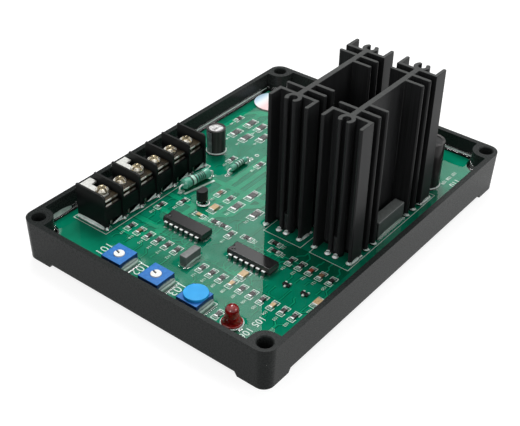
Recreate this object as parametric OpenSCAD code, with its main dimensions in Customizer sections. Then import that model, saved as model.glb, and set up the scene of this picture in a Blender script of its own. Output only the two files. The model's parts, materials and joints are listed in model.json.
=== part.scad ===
// Automatic voltage regulator: a potted circuit board in a moulded tray, with two upright
// heatsinks, a six-way screw terminal strip, three trimmers and an indicator lamp.
// Millimetres. +X runs along the tray toward the heatsink end, +Y toward the terminal strip, +Z up.
// The origin is the centre of the tray's underside, in the plane of its feet.

/* [Tray] */
// Outer length at the rim
tray_l = 158; // [150:1:180]
// Outer width at the rim
tray_w = 116; // [112:1:140]
// Height from the feet to the rim
tray_h = 17.5; // [15:0.5:24]
// Thickness of the side walls at the rim
tray_wall = 2.2; // [1.6:0.1:3]
// Thickness of the floor
tray_floor = 2; // [1.4:0.1:3]
// Lean of each outer wall over its height
tray_draft = 0.7; // [0.1:0.1:1.2]
// Radius of the outer upright corners
tray_corner_r = 5; // [3.5:0.5:7]
// Distance of each mounting hole from both outer walls
hole_inset = 4.8; // [4.4:0.1:7]
// Diameter of the mounting holes
hole_d = 5.5; // [3:0.1:6]
// Bevel at the top of the mounting holes
hole_bevel = 0.4; // [0.1:0.1:0.8]
// Radius of the screw columns in the corners
column_r = 5.5; // [4.5:0.1:7]
// Height of the corner feet
foot_h = 1.8; // [1:0.1:3]
// Length of each corner foot along the walls
foot_l = 13; // [10:0.5:25]
// Run of the sloped end of each foot
foot_ramp = 1; // [0.5:0.1:4]

/* [Board and resin] */
// Height of the posts under the board
post_h = 4.2; // [3.6:0.1:6]
// Diameter of the posts
post_d = 6; // [4:0.5:8]
// Distance of the corner posts from the board's edges
post_inset = 11; // [9:0.5:14]
// Thickness of the board
board_t = 1.6; // [1:0.1:2.4]
// Gap between the board and the tray's walls
board_gap = 1.4; // [0.8:0.1:2]
// Depth of the clear resin over the board
resin_cover = 0.8; // [0.4:0.1:0.8]
// Radius of the round sticker
sticker_r = 8; // [5:0.5:9]
// Thickness of the round sticker
sticker_t = 0.15; // [0.1:0.05:0.4]
// Centre of the round sticker
sticker_at = [59, 46]; // [-75:0.5:75]

/* [Heatsinks] */
// Height of the extrusion
heatsink_h = 57.4; // [30:0.1:80]
// Width across the fins
heatsink_w = 17.1; // [15:0.1:19]
// Length over the two end plates
heatsink_span = 44.5; // [40:0.5:48]
// Length of the lips beyond the end plates
lip_l = 5.8; // [3:0.1:7]
// Thickness of the end plates and lips
plate_t = 1.5; // [1:0.05:1.8]
// Thickness of the fins
fin_t = 1.5; // [0.8:0.05:1.6]
// Distance from one fin to the next
fin_pitch = 4.9; // [4:0.1:5.5]
// Thickness of the central web
web_t = 2.2; // [1.8:0.1:3]
// Bore of the C-shaped screw ports
port_bore = 3; // [2.6:0.1:3.4]
// Wall of the screw ports
port_wall = 1.6; // [0.8:0.05:1.8]
// Opening of the screw ports
port_gap = 1.9; // [1.2:0.1:2.4]
// Centre of the first heatsink
heatsink_1_at = [11.7, -16.5]; // [-60:0.1:60]
// Centre of the second heatsink
heatsink_2_at = [11.7, -39]; // [-60:0.1:60]

/* [Power devices] */
// Width of a device and its tab
device_w = 10; // [9:0.1:11]
// Height of the moulded body
device_h = 9.2; // [8:0.1:10]
// Depth of body and tab together
device_d = 4.5; // [4:0.1:5]
// Thickness of the metal tab
tab_t = 1.3; // [1:0.1:1.6]
// Height of the tab above the body
tab_h = 6.4; // [5.8:0.1:7.5]
// Height of the body above the board
device_lift = 4; // [2:0.1:8]
// Distance between the legs
device_pitch = 2.54; // [2.3:0.01:2.8]

/* [Terminal strip] */
// Distance from one terminal to the next
terminal_pitch = 9.52; // [9:0.01:10.5]
// Depth of the moulded body
strip_d = 14.75; // [14:0.05:17]
// Height of the barrier walls above the board
strip_h = 15.6; // [14.8:0.1:18]
// Height of the contact seat above the board
seat_h = 9.3; // [8:0.1:9.8]
// Thickness of the barrier walls
barrier_t = 0.9; // [0.9:0.1:2]
// Step of the barrier walls ahead of the front face
barrier_proud = 0.6; // [0.3:0.1:1]
// Rounding of the upper front corner of the barriers
barrier_round = 1.6; // [0.5:0.1:3]
// Distance of the strip's rear from the board's edge
strip_inset = 4.55; // [2.5:0.05:6]
// Place of the strip's middle along the board
strip_x = -28.8; // [-32:0.1:-25]
// Thickness of contacts and clamp washers
contact_t = 0.8; // [0.6:0.05:1]
// Space between contact and clamp washer
clamp_gap = 1.2; // [0.6:0.1:1.5]
// Thickness of the tab lugs
lug_t = 0.8; // [0.5:0.05:1]
// Reach of the tab lugs past the strip's rear
lug_reach = 1.7; // [0.5:0.1:2.5]
// Diameter of the terminal screws
screw_d = 3; // [2.6:0.1:3.4]
// Diameter of the screw heads
screw_head_d = 5.2; // [5:0.1:6.6]
// Height of the screw heads
screw_head_h = 2; // [1.4:0.1:2.4]
// Length of the screws below the head
screw_l = 8; // [6:0.5:10]

/* [Trimmers and lamp] */
// Side of the square trimmers
trimmer_w = 9.3; // [8.6:0.1:11]
// Height of the trimmers
trimmer_h = 4.9; // [4:0.1:6.5]
// Distance from one trimmer to the next
trimmer_pitch = 17.9; // [14:0.1:20]
// Distance of the trimmers' centres from the board's edge
trimmer_inset = 6.9; // [5.8:0.1:8]
// Place of the middle trimmer across the board
trimmer_y = -0.5; // [-4:0.5:4]
// Diameter of the trimmer rotors
rotor_d = 4; // [3.4:0.1:5.4]
// Height of the rotors above the trimmers
rotor_proud = 0.35; // [0.1:0.05:0.6]
// Depth of the rotors inside the trimmers
rotor_sunk = 0.6; // [0.4:0.05:0.9]
// Turn of the rotors' pointers from the board's rear
rotor_turn = -17; // [-140:1:140]
// Diameter of the seal on the third trimmer
seal_d = 9; // [7.5:0.1:9.8]
// Thickness of the seal
seal_t = 1.2; // [0.9:0.1:2]
// Place of the seal from the third trimmer's centre
seal_shift = [0.5, -0.2]; // [-1:0.1:1]
// Diameter of the lamp
lamp_d = 5; // [3:0.1:6]
// Height of the lamp above the board
lamp_h = 8.6; // [6:0.1:11]
// Distance of the lamp from the middle trimmer
lamp_step = 33.7; // [31:0.1:36]

/* [Board components] */
// Centre of the first chip
chip_1_at = [-37.4, 12.2]; // [-75:0.1:75]
// Centre of the second chip
chip_2_at = [-37.3, -19.1]; // [-75:0.1:75]
// Length of a chip
chip_l = 19.3; // [18.6:0.1:20.5]
// Width of a chip's body
chip_w = 6.4; // [5.6:0.1:6.8]
// Height of a chip's body
chip_t = 2.9; // [2.6:0.1:4]
// Space below a chip
chip_lift = 0.8; // [0.4:0.1:1.2]
// Diameter of the small electrolytic capacitor
small_can_d = 8; // [6:0.1:9]
// Height of the small electrolytic capacitor
small_can_h = 11.5; // [9:0.5:16]
// Centre of the small electrolytic capacitor
small_can_at = [12.1, 39.6]; // [-75:0.1:75]
// Diameter of the tall electrolytic capacitor
tall_can_d = 10; // [8:0.1:12.5]
// Height of the tall electrolytic capacitor
tall_can_h = 21; // [16:0.5:30]
// Gap between the second heatsink's end and the tall electrolytic capacitor
tall_can_gap = 3.25; // [1:0.05:6]
// Step of the tall electrolytic capacitor across the second heatsink
tall_can_side = -2.6; // [-6:0.1:6]
// Thickness of the capacitor sleeves
sleeve_t = 0.2; // [0.1:0.05:0.3]
// Length of the large resistor
large_resistor_l = 13.5; // [9:0.5:14.5]
// Diameter of the large resistor
large_resistor_d = 4.4; // [3:0.1:5]
// Centre of the large resistor
large_resistor_at = [-12.3, 29.6]; // [-75:0.1:75]
// Turn of the large resistor on the board
large_resistor_turn = -8; // [-15:1:15]
// Length of the small resistor
small_resistor_l = 9.5; // [6:0.5:10]
// Diameter of the small resistor
small_resistor_d = 2.6; // [1.8:0.1:3.2]
// Centre of the small resistor
small_resistor_at = [7.9, 24.2]; // [-75:0.1:75]
// Gap between the board and the lying resistors
resistor_lift = 0.9; // [0.9:0.1:2]
// Centre of the transistor
transistor_at = [-20.9, 19.1]; // [-75:0.1:75]
// Height of the transistor's body
transistor_h = 4.7; // [4:0.1:5.5]
// Diameter of the transistor's body
transistor_d = 4.7; // [4:0.1:5.2]
// Height of the transistor's body above the board
transistor_lift = 2.2; // [1:0.1:4]
// Length, width and height of the small box capacitor
small_box = [8.2, 3.2, 4.6]; // [2:0.1:10]
// Centre of the small box capacitor
small_box_at = [-50.9, -1]; // [-75:0.1:75]
// Length, width and height of the large box capacitor
large_box = [18, 4.4, 8]; // [3:0.1:20]
// Gap between the second heatsink's web and the large box capacitor
large_box_gap = 2.4; // [0.5:0.1:2.6]
// Step of the large box capacitor along the second heatsink
large_box_side = 0.3; // [-2:0.1:2]
// Length, width and height of a small chip resistor
chip_resistor = [3.2, 1.6, 0.85]; // [0.5:0.05:4]
// Length, width and height of a large chip resistor
power_chip = [5, 2.5, 0.85]; // [0.5:0.05:6.5]
// Length, width and height of a ceramic chip capacitor
chip_capacitor = [4, 2.6, 1.3]; // [0.5:0.05:5]
// Length, width and height of a three-legged chip transistor
chip_transistor = [2.9, 1.3, 1]; // [0.5:0.05:4]

/* [Hidden] */
$fn = 48;

// Clearance of faces that are bonded or pressed together
seat_gap = 0.02;
// Radial clearance of parts that turn or pass through a hole
running_gap = 0.05;
// Radial clearance of legs in the board's holes
lead_gap = 0.12;
// Overshoot of cuts past the faces they open
cut = 1;

// Levels
floor_top = foot_h + tray_floor;
board_bottom = floor_top + post_h;
board_top = board_bottom + board_t;
resin_top = board_top + resin_cover;
lead_tail = 1.5;
lead_bottom = board_bottom - lead_tail;

// Plan of the tray and the board
hole_x = tray_l / 2 - hole_inset;
hole_y = tray_w / 2 - hole_inset;
cavity_l = tray_l - 2 * tray_wall;
cavity_w = tray_w - 2 * tray_wall;
least_corner_r = 0.5;
cavity_r = max(tray_corner_r - tray_wall, least_corner_r);
board_l = cavity_l - 2 * board_gap;
board_w = cavity_w - 2 * board_gap;
post_x = board_l / 2 - post_inset;
post_y = board_w / 2 - post_inset;

// Board size that the places on the board are given for; they spread with the board
layout_l = 150.8;
layout_w = 108.8;
function on_board(p) = [p[0] * board_l / layout_l, p[1] * board_w / layout_w];
function spread(spots) = [for (spot = spots) concat(on_board(spot), [spot[2]])];

// Heatsink ports and the screws that enter them from below
port_od = port_bore + 2 * port_wall;
port_x = heatsink_span / 2 + port_od / 2 - port_wall / 2;
// Rise of the rounded prong ends over both faces of the port's wall
bead_proud = 0.03;
heatsink_spots = [on_board(heatsink_1_at), on_board(heatsink_2_at)];
heatsink_screw_d = port_bore - 2 * running_gap;
heatsink_screw_bite = 8;
heatsink_screw_l = board_t + heatsink_screw_bite;
heatsink_screw_head_d = 5.4;
heatsink_screw_head_h = 1.9;

// Power devices on the +Y face of each web
device_back = web_t / 2;
device_z = board_top + device_lift;
device_hole_z = device_z + device_h + tab_h / 2;
device_hole_slack = 0.6;
device_hole_d = screw_d + device_hole_slack;
device_leg_step = 1.2;
device_leg_y = device_back + tab_t + device_leg_step;
device_leg_w = 0.8;
device_leg_t = 0.5;
device_thread_floor = 0.5;
device_thread_depth = web_t - device_thread_floor;
device_head_d = 5.6;
device_head_h = 1.8;

// Terminal strip
terminals = 6;
lugged_terminals = [0, 2];
strip_l = terminals * terminal_pitch + barrier_t;
strip_mid = on_board([strip_x, 0])[0];
strip_rear = board_w / 2 - strip_inset;
strip_front = strip_rear - strip_d;
base_front = strip_front + barrier_proud;
seat_z = board_top + seat_h;
contact_setback = 0.9;
contact_front = base_front + contact_setback;
contact_d = 8.6;
contact_side_gap = 0.5;
contact_w = terminal_pitch - barrier_t - 2 * contact_side_gap;
washer_setback = 0.6;
washer_d = contact_d - washer_setback;
contact_top = seat_z + contact_t;
washer_bottom = contact_top + clamp_gap;
washer_top = washer_bottom + contact_t;
screw_setback = 0.4;
screw_y = contact_front + contact_d / 2 + screw_setback;
tail_w = 1.2;
tail_t = 0.8;
notch_d = 1.6;
notch_w = 5.4;
notch_h = 3;
tail_y = base_front + notch_d + tail_t / 2;

// Trimmers and lamp
trimmer_x = -board_l / 2 + trimmer_inset;
trimmer_top = board_top + trimmer_h;
trimmer_pin_d = 0.6;
trimmer_pin_offsets = [[-2.54, 2.54], [2.54, 0], [-2.54, -2.54]];
spindle_d = 1.9;
spindle_h = 1.6;
lamp_side = 0.9;
lamp_at = [trimmer_x + lamp_side, trimmer_y - lamp_step];
lamp_flange = 0.45;
lamp_flange_h = 1;
lamp_lead_d = 0.5;
lamp_lead_half = 1.27;

// Chips
chip_pins = 7;
chip_pin_pitch = 2.54;
chip_row_half = 3.81;
chip_leg_t = 0.25;
chip_leg_w = 0.46;
chip_shoulder_w = 1.4;
chip_bottom = board_top + chip_lift;
chip_parting = chip_bottom + chip_t / 2;
chip_draft = 0.45;

// Places of the other components
sticker_place = on_board(sticker_at);
chip_1_place = on_board(chip_1_at);
chip_2_place = on_board(chip_2_at);
small_can_place = on_board(small_can_at);
tall_can_place = heatsink_spots[1] + [
    heatsink_span / 2 + lip_l + tall_can_gap + tall_can_d / 2,
    tall_can_side
];
large_resistor_place = on_board(large_resistor_at);
small_resistor_place = on_board(small_resistor_at);
transistor_place = on_board(transistor_at);
small_box_place = on_board(small_box_at);
large_box_place = heatsink_spots[1] + [large_box_side, -web_t / 2 - large_box_gap - large_box[1] / 2];

// Leads of the other components
can_lead_d = 0.6;
small_can_half = 1.75;
tall_can_half = 2.5;
resistor_lead_d = 0.7;
resistor_bend_r = 1.1;
resistor_end = 2;
transistor_lead_d = 0.5;
transistor_lead_half = 1.27;
box_lead_d = 0.6;
small_box_half = 2.5;
large_box_half = 7.5;

// Rows of chip resistors across the board: x, first y, step, count
resistor_rows = [[-49.6, 30.2, -4.65, 6], [-51.5, -7, -4.6, 10], [-27.9, -29.4, -4.5, 5]];
// Single chip resistors: x, y, turn
resistor_spots = [
    [-24.7, 25.7, 0], [-11.2, 18.2, 0], [-11.9, 12.6, 0], [-27, 7.2, 90], [-27, 3, 90],
    [-29.5, -2.2, 0], [-27.2, -8.6, 90], [-23, -18.8, 90], [-27, -21.4, 90], [-27.5, 14.9, 90],
    [10.9, 30.2, 0], [15, 18.7, 0], [-32.3, 30.8, 0], [38.4, 48.7, 0], [-67, -27.6, 0]
];
// Large chip resistors: x, y, turn
power_chip_spots = [
    [-4.4, 7.2, 0], [-14.2, 7.3, 0], [-13.6, -1.6, 0], [38.6, 42, 0], [38.6, 36.4, 0],
    [28.4, 42.4, 0], [27.9, 36.3, 0], [32.5, 30.5, 0]
];
// Ceramic chip capacitors: x, y, turn
capacitor_spots = [[-20.6, 13.1, 0], [-45.2, -21.1, 0], [-40.6, -50.6, 0]];
// Three-legged chip transistors: x, y, turn
chip_transistor_spots = [[-39.8, -36.3, 90], [-39.8, -44.2, 90]];

resistor_places = spread(concat(
    [for (row = resistor_rows) for (i = [0:row[3] - 1]) [row[0], row[1] + i * row[2], 0]],
    resistor_spots
));
power_chip_places = spread(power_chip_spots);
capacitor_places = spread(capacitor_spots);
chip_transistor_places = spread(chip_transistor_spots);

function trimmer_at(i) = [trimmer_x, trimmer_y + (1 - i) * trimmer_pitch];
function terminal_x(i) = strip_mid + (i - (terminals - 1) / 2) * terminal_pitch;
function barrier_x(i) = strip_mid + (i - terminals / 2) * terminal_pitch;
function has_lug(i) = len(search(i, lugged_terminals)) > 0;
function head_seat(i) = washer_top + (has_lug(i) ? lug_t : 0);
function turned(at, turn, reach) = at + reach * [cos(turn), sin(turn)];
function lead_reach(length) = length / 2 + resistor_end;
function pair_x(at, half) = [for (s = [-1, 1]) at + [s * half, 0]];
function chip_pin_points(at) = [
    for (s = [-1, 1])
        for (i = [0:chip_pins - 1])
            at + [s * chip_row_half, (i - (chip_pins - 1) / 2) * chip_pin_pitch]
];
function with_d(points, d) = [for (p = points) [p[0], p[1], d]];

// Plan points of each component's leads
trimmer_pin_points = [for (i = [0:2]) for (offset = trimmer_pin_offsets) trimmer_at(i) + offset];
lamp_lead_points = [for (s = [-1, 1]) lamp_at + [0, s * lamp_lead_half]];
large_resistor_points = [
    for (s = [-1, 1]) turned(large_resistor_place, large_resistor_turn, s * lead_reach(large_resistor_l))
];
small_resistor_points = [
    for (s = [-1, 1]) turned(small_resistor_place, 0, s * lead_reach(small_resistor_l))
];
transistor_points = [for (s = [-1:1]) transistor_place + [s * transistor_lead_half, 0]];
device_leg_points = [
    for (at = heatsink_spots) for (s = [-1:1]) at + [s * device_pitch, device_leg_y]
];
tail_points = [for (i = [0:terminals - 1]) [terminal_x(i), tail_y]];
heatsink_screw_points = [for (at = heatsink_spots) for (s = [-1, 1]) at + [s * port_x, 0]];

// Every leg that passes through the board, with the circle that it needs
lead_points = concat(
    with_d(trimmer_pin_points, trimmer_pin_d),
    with_d(lamp_lead_points, lamp_lead_d),
    with_d(chip_pin_points(chip_1_place), norm([chip_leg_w, chip_leg_t])),
    with_d(chip_pin_points(chip_2_place), norm([chip_leg_w, chip_leg_t])),
    with_d(pair_x(small_can_place, small_can_half), can_lead_d),
    with_d(pair_x(tall_can_place, tall_can_half), can_lead_d),
    with_d(large_resistor_points, resistor_lead_d),
    with_d(small_resistor_points, resistor_lead_d),
    with_d(transistor_points, transistor_lead_d),
    with_d(pair_x(small_box_place, small_box_half), box_lead_d),
    with_d(pair_x(large_box_place, large_box_half), box_lead_d),
    with_d(device_leg_points, norm([device_leg_w, device_leg_t])),
    with_d(tail_points, norm([tail_w, tail_t]))
);

// Shared shapes

module rounded_rect(l, w, r) {
    square([l - 2 * r, w], center = true);
    square([l, w - 2 * r], center = true);
    for (sx = [-1, 1], sy = [-1, 1])
        translate([sx * (l / 2 - r), sy * (w / 2 - r)])
            circle(r);
}

module four_corners() {
    for (mx = [0, 1], my = [0, 1])
        mirror([mx, 0, 0])
            mirror([0, my, 0])
                children();
}

// A box that stands on z, centred on a plan point
module standing_box(size, z) {
    translate([-size[0] / 2, -size[1] / 2, z])
        cube(size);
}

module lead(point, d, top) {
    translate([point[0], point[1], lead_bottom])
        cylinder(d = d, h = top - lead_bottom);
}

module leads(points, d, top) {
    for (point = points)
        lead(point, d, top);
}

module flat_leg(point, w, t, top) {
    translate([point[0], point[1], 0])
        standing_box([w, t, top - lead_bottom], lead_bottom);
}

module placed(spots, size, grow = 0) {
    for (spot = spots)
        translate([spot[0], spot[1], 0])
            rotate(len(spot) > 2 ? spot[2] : 0)
                standing_box([size[0] + 2 * grow, size[1] + 2 * grow, size[2] + grow], board_top);
}

// Tray

// Screw column: a round front with flanks square to both walls
module column_2d(grow = 0) {
    r = column_r + grow;
    translate([hole_x, hole_y]) {
        circle(r);
        translate([0, -r])
            square([hole_inset, r + hole_inset]);
        translate([-r, 0])
            square([r + hole_inset, hole_inset]);
    }
}

module cavity_2d(gap = 0) {
    difference() {
        rounded_rect(cavity_l - 2 * gap, cavity_w - 2 * gap, cavity_r);
        four_corners()
            column_2d(gap);
    }
}

module outer_shell() {
    hull()
        four_corners()
            translate([tray_l / 2 - tray_corner_r, tray_w / 2 - tray_corner_r, 0])
                cylinder(r1 = tray_corner_r - tray_draft, r2 = tray_corner_r, h = tray_h);
}

// Space under the floor between two feet, with sloped ends
module underside_channel(span, run) {
    half = span / 2 - foot_l;
    translate([0, run / 2 + cut, 0])
        rotate([90, 0, 0])
            linear_extrude(run + 2 * cut)
                polygon([
                    [-half, -cut], [half, -cut], [half, 0],
                    [half - foot_ramp, foot_h], [foot_ramp - half, foot_h], [-half, 0]
                ]);
}

module board_posts(grow = 0) {
    for (sx = [-1, 1], sy = [-1, 1])
        translate([sx * post_x, sy * post_y, floor_top])
            cylinder(d = post_d + 2 * grow, h = post_h);
}

module mounting_hole() {
    translate([hole_x, hole_y, -cut])
        cylinder(d = hole_d, h = tray_h + 2 * cut);
    translate([hole_x, hole_y, tray_h - hole_bevel])
        cylinder(d1 = hole_d, d2 = hole_d + 4 * hole_bevel, h = 2 * hole_bevel);
}

module housing_tray() {
    color("#2b2d2f")
        difference() {
            outer_shell();
            difference() {
                translate([0, 0, floor_top])
                    linear_extrude(tray_h)
                        cavity_2d();
                board_posts();
            }
            underside_channel(tray_l, tray_w);
            rotate(90)
                underside_channel(tray_w, tray_l);
            four_corners()
                mounting_hole();
        }
}

// Board, resin and sticker

module lead_wells(gap, bottom, top) {
    for (p = lead_points)
        translate([p[0], p[1], bottom])
            cylinder(d = p[2] + 2 * gap, h = top - bottom);
}

module circuit_board() {
    color("#0f7a58")
        difference() {
            translate([0, 0, board_bottom])
                linear_extrude(board_t)
                    cavity_2d(board_gap);
            lead_wells(lead_gap, board_bottom - cut, board_top + cut);
            for (p = heatsink_screw_points)
                translate([p[0], p[1], board_bottom - cut])
                    cylinder(d = heatsink_screw_d + 2 * lead_gap, h = board_t + 2 * cut);
        }
}

// Space that the components take in the resin over the board
module component_seats() {
    above = resin_top - board_top + cut;
    translate([0, 0, board_top])
        linear_extrude(above)
            for (at = heatsink_spots)
                translate(at)
                    heatsink_2d();
    for (p = heatsink_screw_points)
        translate([p[0], p[1], board_top])
            cylinder(d = port_bore + port_wall, h = above);
    translate([strip_mid, (strip_front + strip_rear) / 2, 0])
        standing_box([strip_l + 2 * seat_gap, strip_d + 2 * seat_gap, above], board_top);
    for (i = [0:2])
        translate(trimmer_at(i))
            standing_box([trimmer_w + 2 * seat_gap, trimmer_w + 2 * seat_gap, above], board_top);
    for (at = [chip_1_place, chip_2_place])
        translate(at)
            standing_box([2 * chip_row_half + chip_shoulder_w, chip_l + 2 * seat_gap, above], board_top);
    translate([lamp_at[0], lamp_at[1], board_top])
        cylinder(d = lamp_d + 2 * lamp_flange + 2 * seat_gap, h = above);
    translate([small_can_place[0], small_can_place[1], board_top])
        cylinder(d = small_can_d + 2 * seat_gap, h = above);
    translate([tall_can_place[0], tall_can_place[1], board_top])
        cylinder(d = tall_can_d + 2 * seat_gap, h = above);
    placed([small_box_place], small_box, seat_gap);
    placed([large_box_place], large_box, seat_gap);
    placed(resistor_places, chip_resistor, seat_gap);
    placed(power_chip_places, power_chip, seat_gap);
    placed(capacitor_places, chip_capacitor, seat_gap);
    placed(chip_transistor_places, chip_transistor, seat_gap);
}

module potting_resin() {
    color("#7fc8a8", 0.4)
        difference() {
            translate([0, 0, floor_top])
                linear_extrude(resin_top - floor_top)
                    cavity_2d(seat_gap);
            translate([0, 0, board_bottom])
                linear_extrude(board_t + seat_gap)
                    cavity_2d(board_gap - seat_gap);
            board_posts(seat_gap);
            lead_wells(seat_gap, lead_bottom - seat_gap, resin_top + cut);
            for (p = heatsink_screw_points)
                translate([p[0], p[1], board_bottom - heatsink_screw_head_h - seat_gap])
                    cylinder(d = heatsink_screw_head_d + 2 * seat_gap, h = heatsink_screw_head_h + cut);
            component_seats();
        }
}

module round_sticker() {
    color("#e9d9de")
        translate([sticker_place[0], sticker_place[1], resin_top])
            cylinder(r = sticker_r, h = sticker_t);
}

// Heatsinks

// A straight wall from the origin along +X with a round free end
module wall_2d(length, t) {
    translate([0, -t / 2])
        square([length - t / 2, t]);
    translate([length - t / 2, 0])
        circle(d = t);
}

// C-shaped port for a screw, open outward, with beaded prongs
module screw_port_2d() {
    prong_r = (port_od + port_bore) / 4;
    prong_angle = asin((port_gap + port_wall) / 2 / prong_r);
    difference() {
        circle(d = port_od);
        circle(d = port_bore);
        intersection() {
            translate([0, -port_od / 2])
                square(port_od);
            polygon([
                [0, 0],
                port_od * [cos(prong_angle), sin(prong_angle)],
                port_od * [cos(prong_angle), -sin(prong_angle)]
            ]);
        }
    }
    for (s = [-1, 1])
        translate(prong_r * [cos(prong_angle), s * sin(prong_angle)])
            circle(d = port_wall + 2 * bead_proud);
}

module heatsink_2d() {
    plate_x = heatsink_span / 2;
    square([heatsink_span, web_t], center = true);
    for (m = [0, 1])
        mirror([m, 0]) {
            translate([plate_x - plate_t, -heatsink_w / 2])
                square([plate_t, heatsink_w]);
            for (s = [-1, 1])
                translate([plate_x - plate_t, s * (heatsink_w - plate_t) / 2])
                    wall_2d(lip_l + plate_t, plate_t);
            translate([port_x, 0])
                screw_port_2d();
            for (s = [-1, 1])
                translate([plate_x - fin_pitch - fin_t / 2, 0])
                    rotate(s * 90)
                        wall_2d(heatsink_w / 2, fin_t);
            translate([plate_x - 2 * fin_pitch - fin_t / 2, 0])
                rotate(-90)
                    wall_2d(heatsink_w / 2, fin_t);
        }
}

module heatsink(at) {
    color("#1d1e20")
        difference() {
            translate([at[0], at[1], board_top])
                linear_extrude(heatsink_h)
                    heatsink_2d();
            translate([at[0], at[1] + device_back + cut, device_hole_z])
                rotate([90, 0, 0])
                    cylinder(d = screw_d, h = device_thread_depth + cut);
        }
}

module heatsink_1() {
    heatsink(heatsink_spots[0]);
}

module heatsink_2() {
    heatsink(heatsink_spots[1]);
}

module heatsink_screws() {
    color("silver")
        for (p = heatsink_screw_points)
            translate([p[0], p[1], board_bottom - heatsink_screw_head_h]) {
                cylinder(d = heatsink_screw_head_d, h = heatsink_screw_head_h);
                cylinder(d = heatsink_screw_d, h = heatsink_screw_head_h + heatsink_screw_l);
            }
}

// Power devices

module device_body(at) {
    color("#222222")
        translate([at[0], at[1] + device_back + tab_t, device_z])
            translate([-device_w / 2, 0, 0])
                cube([device_w, device_d - tab_t, device_h]);
}

// Metal tab behind the body, with the three legs below it
module device_frame(at) {
    color("#b9bcc0")
        difference() {
            union() {
                translate([at[0] - device_w / 2, at[1] + device_back, device_z])
                    cube([device_w, tab_t, device_h + tab_h]);
                for (s = [-1:1])
                    flat_leg(at + [s * device_pitch, device_leg_y], device_leg_w, device_leg_t, device_z);
            }
            translate([at[0], at[1] + device_back + tab_t + cut, device_hole_z])
                rotate([90, 0, 0])
                    cylinder(d = device_hole_d, h = tab_t + 2 * cut);
        }
}

module power_device_1_body() {
    device_body(heatsink_spots[0]);
}

module power_device_1_frame() {
    device_frame(heatsink_spots[0]);
}

module power_device_2_body() {
    device_body(heatsink_spots[1]);
}

module power_device_2_frame() {
    device_frame(heatsink_spots[1]);
}

module device_screws() {
    color("silver")
        for (at = heatsink_spots)
            translate([at[0], at[1] + device_back + tab_t, device_hole_z])
                rotate([90, 0, 0]) {
                    translate([0, 0, -device_head_h])
                        cylinder(d = device_head_d, h = device_head_h);
                    cylinder(d = screw_d - 2 * running_gap, h = tab_t + device_thread_depth - running_gap);
                }
}

// Terminal strip

// Side view of a barrier wall: depth along X, height along Y
module barrier_2d() {
    square([strip_d, strip_h - barrier_round]);
    translate([barrier_round, 0])
        square([strip_d - barrier_round, strip_h]);
    translate([barrier_round, strip_h - barrier_round])
        circle(barrier_round);
}

module terminal_block() {
    tail_slot = 2 * running_gap;
    color("#1b1c1d")
        difference() {
            union() {
                translate([strip_mid - strip_l / 2, base_front, board_top])
                    cube([strip_l, strip_rear - base_front, seat_h]);
                for (i = [0:terminals])
                    translate([barrier_x(i) - barrier_t / 2, strip_front, board_top])
                        rotate([90, 0, 90])
                            linear_extrude(barrier_t)
                                barrier_2d();
            }
            for (i = [0:terminals - 1]) {
                translate([terminal_x(i), screw_y, head_seat(i) - screw_l - cut])
                    cylinder(d = screw_d + 4 * running_gap, h = screw_l);
                translate([terminal_x(i), tail_y, 0])
                    standing_box([tail_w + tail_slot, tail_t + tail_slot, seat_h + 2 * cut], board_top - cut);
                translate([terminal_x(i), base_front + (notch_d - cut) / 2, 0])
                    standing_box([notch_w, notch_d + cut, notch_h + cut], board_top - cut);
            }
        }
}

// Contact: a tapped plate on the seat with a tail down through the board
module terminal_contact(i) {
    color("#d9d5c4")
        difference() {
            union() {
                translate([terminal_x(i), contact_front + contact_d / 2, 0])
                    standing_box([contact_w, contact_d, contact_t], seat_z);
                flat_leg([terminal_x(i), tail_y], tail_w, tail_t, contact_top);
            }
            translate([terminal_x(i), screw_y, seat_z - cut])
                cylinder(d = screw_d + 2 * running_gap, h = contact_t + 2 * cut);
        }
}

module terminal_contact_1() {
    terminal_contact(0);
}

module terminal_contact_2() {
    terminal_contact(1);
}

module terminal_contact_3() {
    terminal_contact(2);
}

module terminal_contact_4() {
    terminal_contact(3);
}

module terminal_contact_5() {
    terminal_contact(4);
}

module terminal_contact_6() {
    terminal_contact(5);
}

module clamp_washers() {
    color("#d3d0c4")
        for (i = [0:terminals - 1])
            translate([terminal_x(i), 0, washer_bottom])
                difference() {
                    translate([-contact_w / 2, contact_front, 0])
                        cube([contact_w, washer_d, contact_t]);
                    translate([0, screw_y, -cut])
                        cylinder(d = screw_d + 2 * running_gap, h = contact_t + 2 * cut);
                }
}

module terminal_screw(i) {
    slot_w = 0.9;
    slot_depth = 1;
    translate([terminal_x(i), screw_y, head_seat(i)])
        difference() {
            union() {
                cylinder(d = screw_head_d, h = screw_head_h / 2);
                translate([0, 0, screw_head_h / 2])
                    cylinder(d1 = screw_head_d, d2 = screw_head_d - screw_head_h, h = screw_head_h / 2);
                translate([0, 0, -screw_l])
                    cylinder(d = screw_d, h = screw_l);
            }
            for (turn = [0, 90])
                rotate(turn)
                    standing_box([screw_head_d + cut, slot_w, slot_depth + cut], screw_head_h - slot_depth);
        }
}

module terminal_screws() {
    color("#cfc7a6")
        for (i = [0:terminals - 1])
            terminal_screw(i);
}

// L-shaped plate clamped under a screw head, with its foot past the strip's rear
module tab_lug(i) {
    foot_d = 3.5;
    leg_share = 0.62;
    leg_w = contact_w * leg_share;
    lug_front = screw_y - screw_head_d / 2;
    color("#dcdcd6")
        difference() {
            union() {
                translate([terminal_x(i) - contact_w / 2, lug_front, washer_top])
                    cube([leg_w, strip_rear + lug_reach - lug_front, lug_t]);
                translate([terminal_x(i) - contact_w / 2, strip_rear + lug_reach - foot_d, washer_top])
                    cube([contact_w, foot_d, lug_t]);
            }
            translate([terminal_x(i), screw_y, washer_top - cut])
                cylinder(d = screw_d + 2 * running_gap, h = lug_t + 2 * cut);
        }
}

module tab_lug_1() {
    tab_lug(lugged_terminals[0]);
}

module tab_lug_3() {
    tab_lug(lugged_terminals[1]);
}

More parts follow.
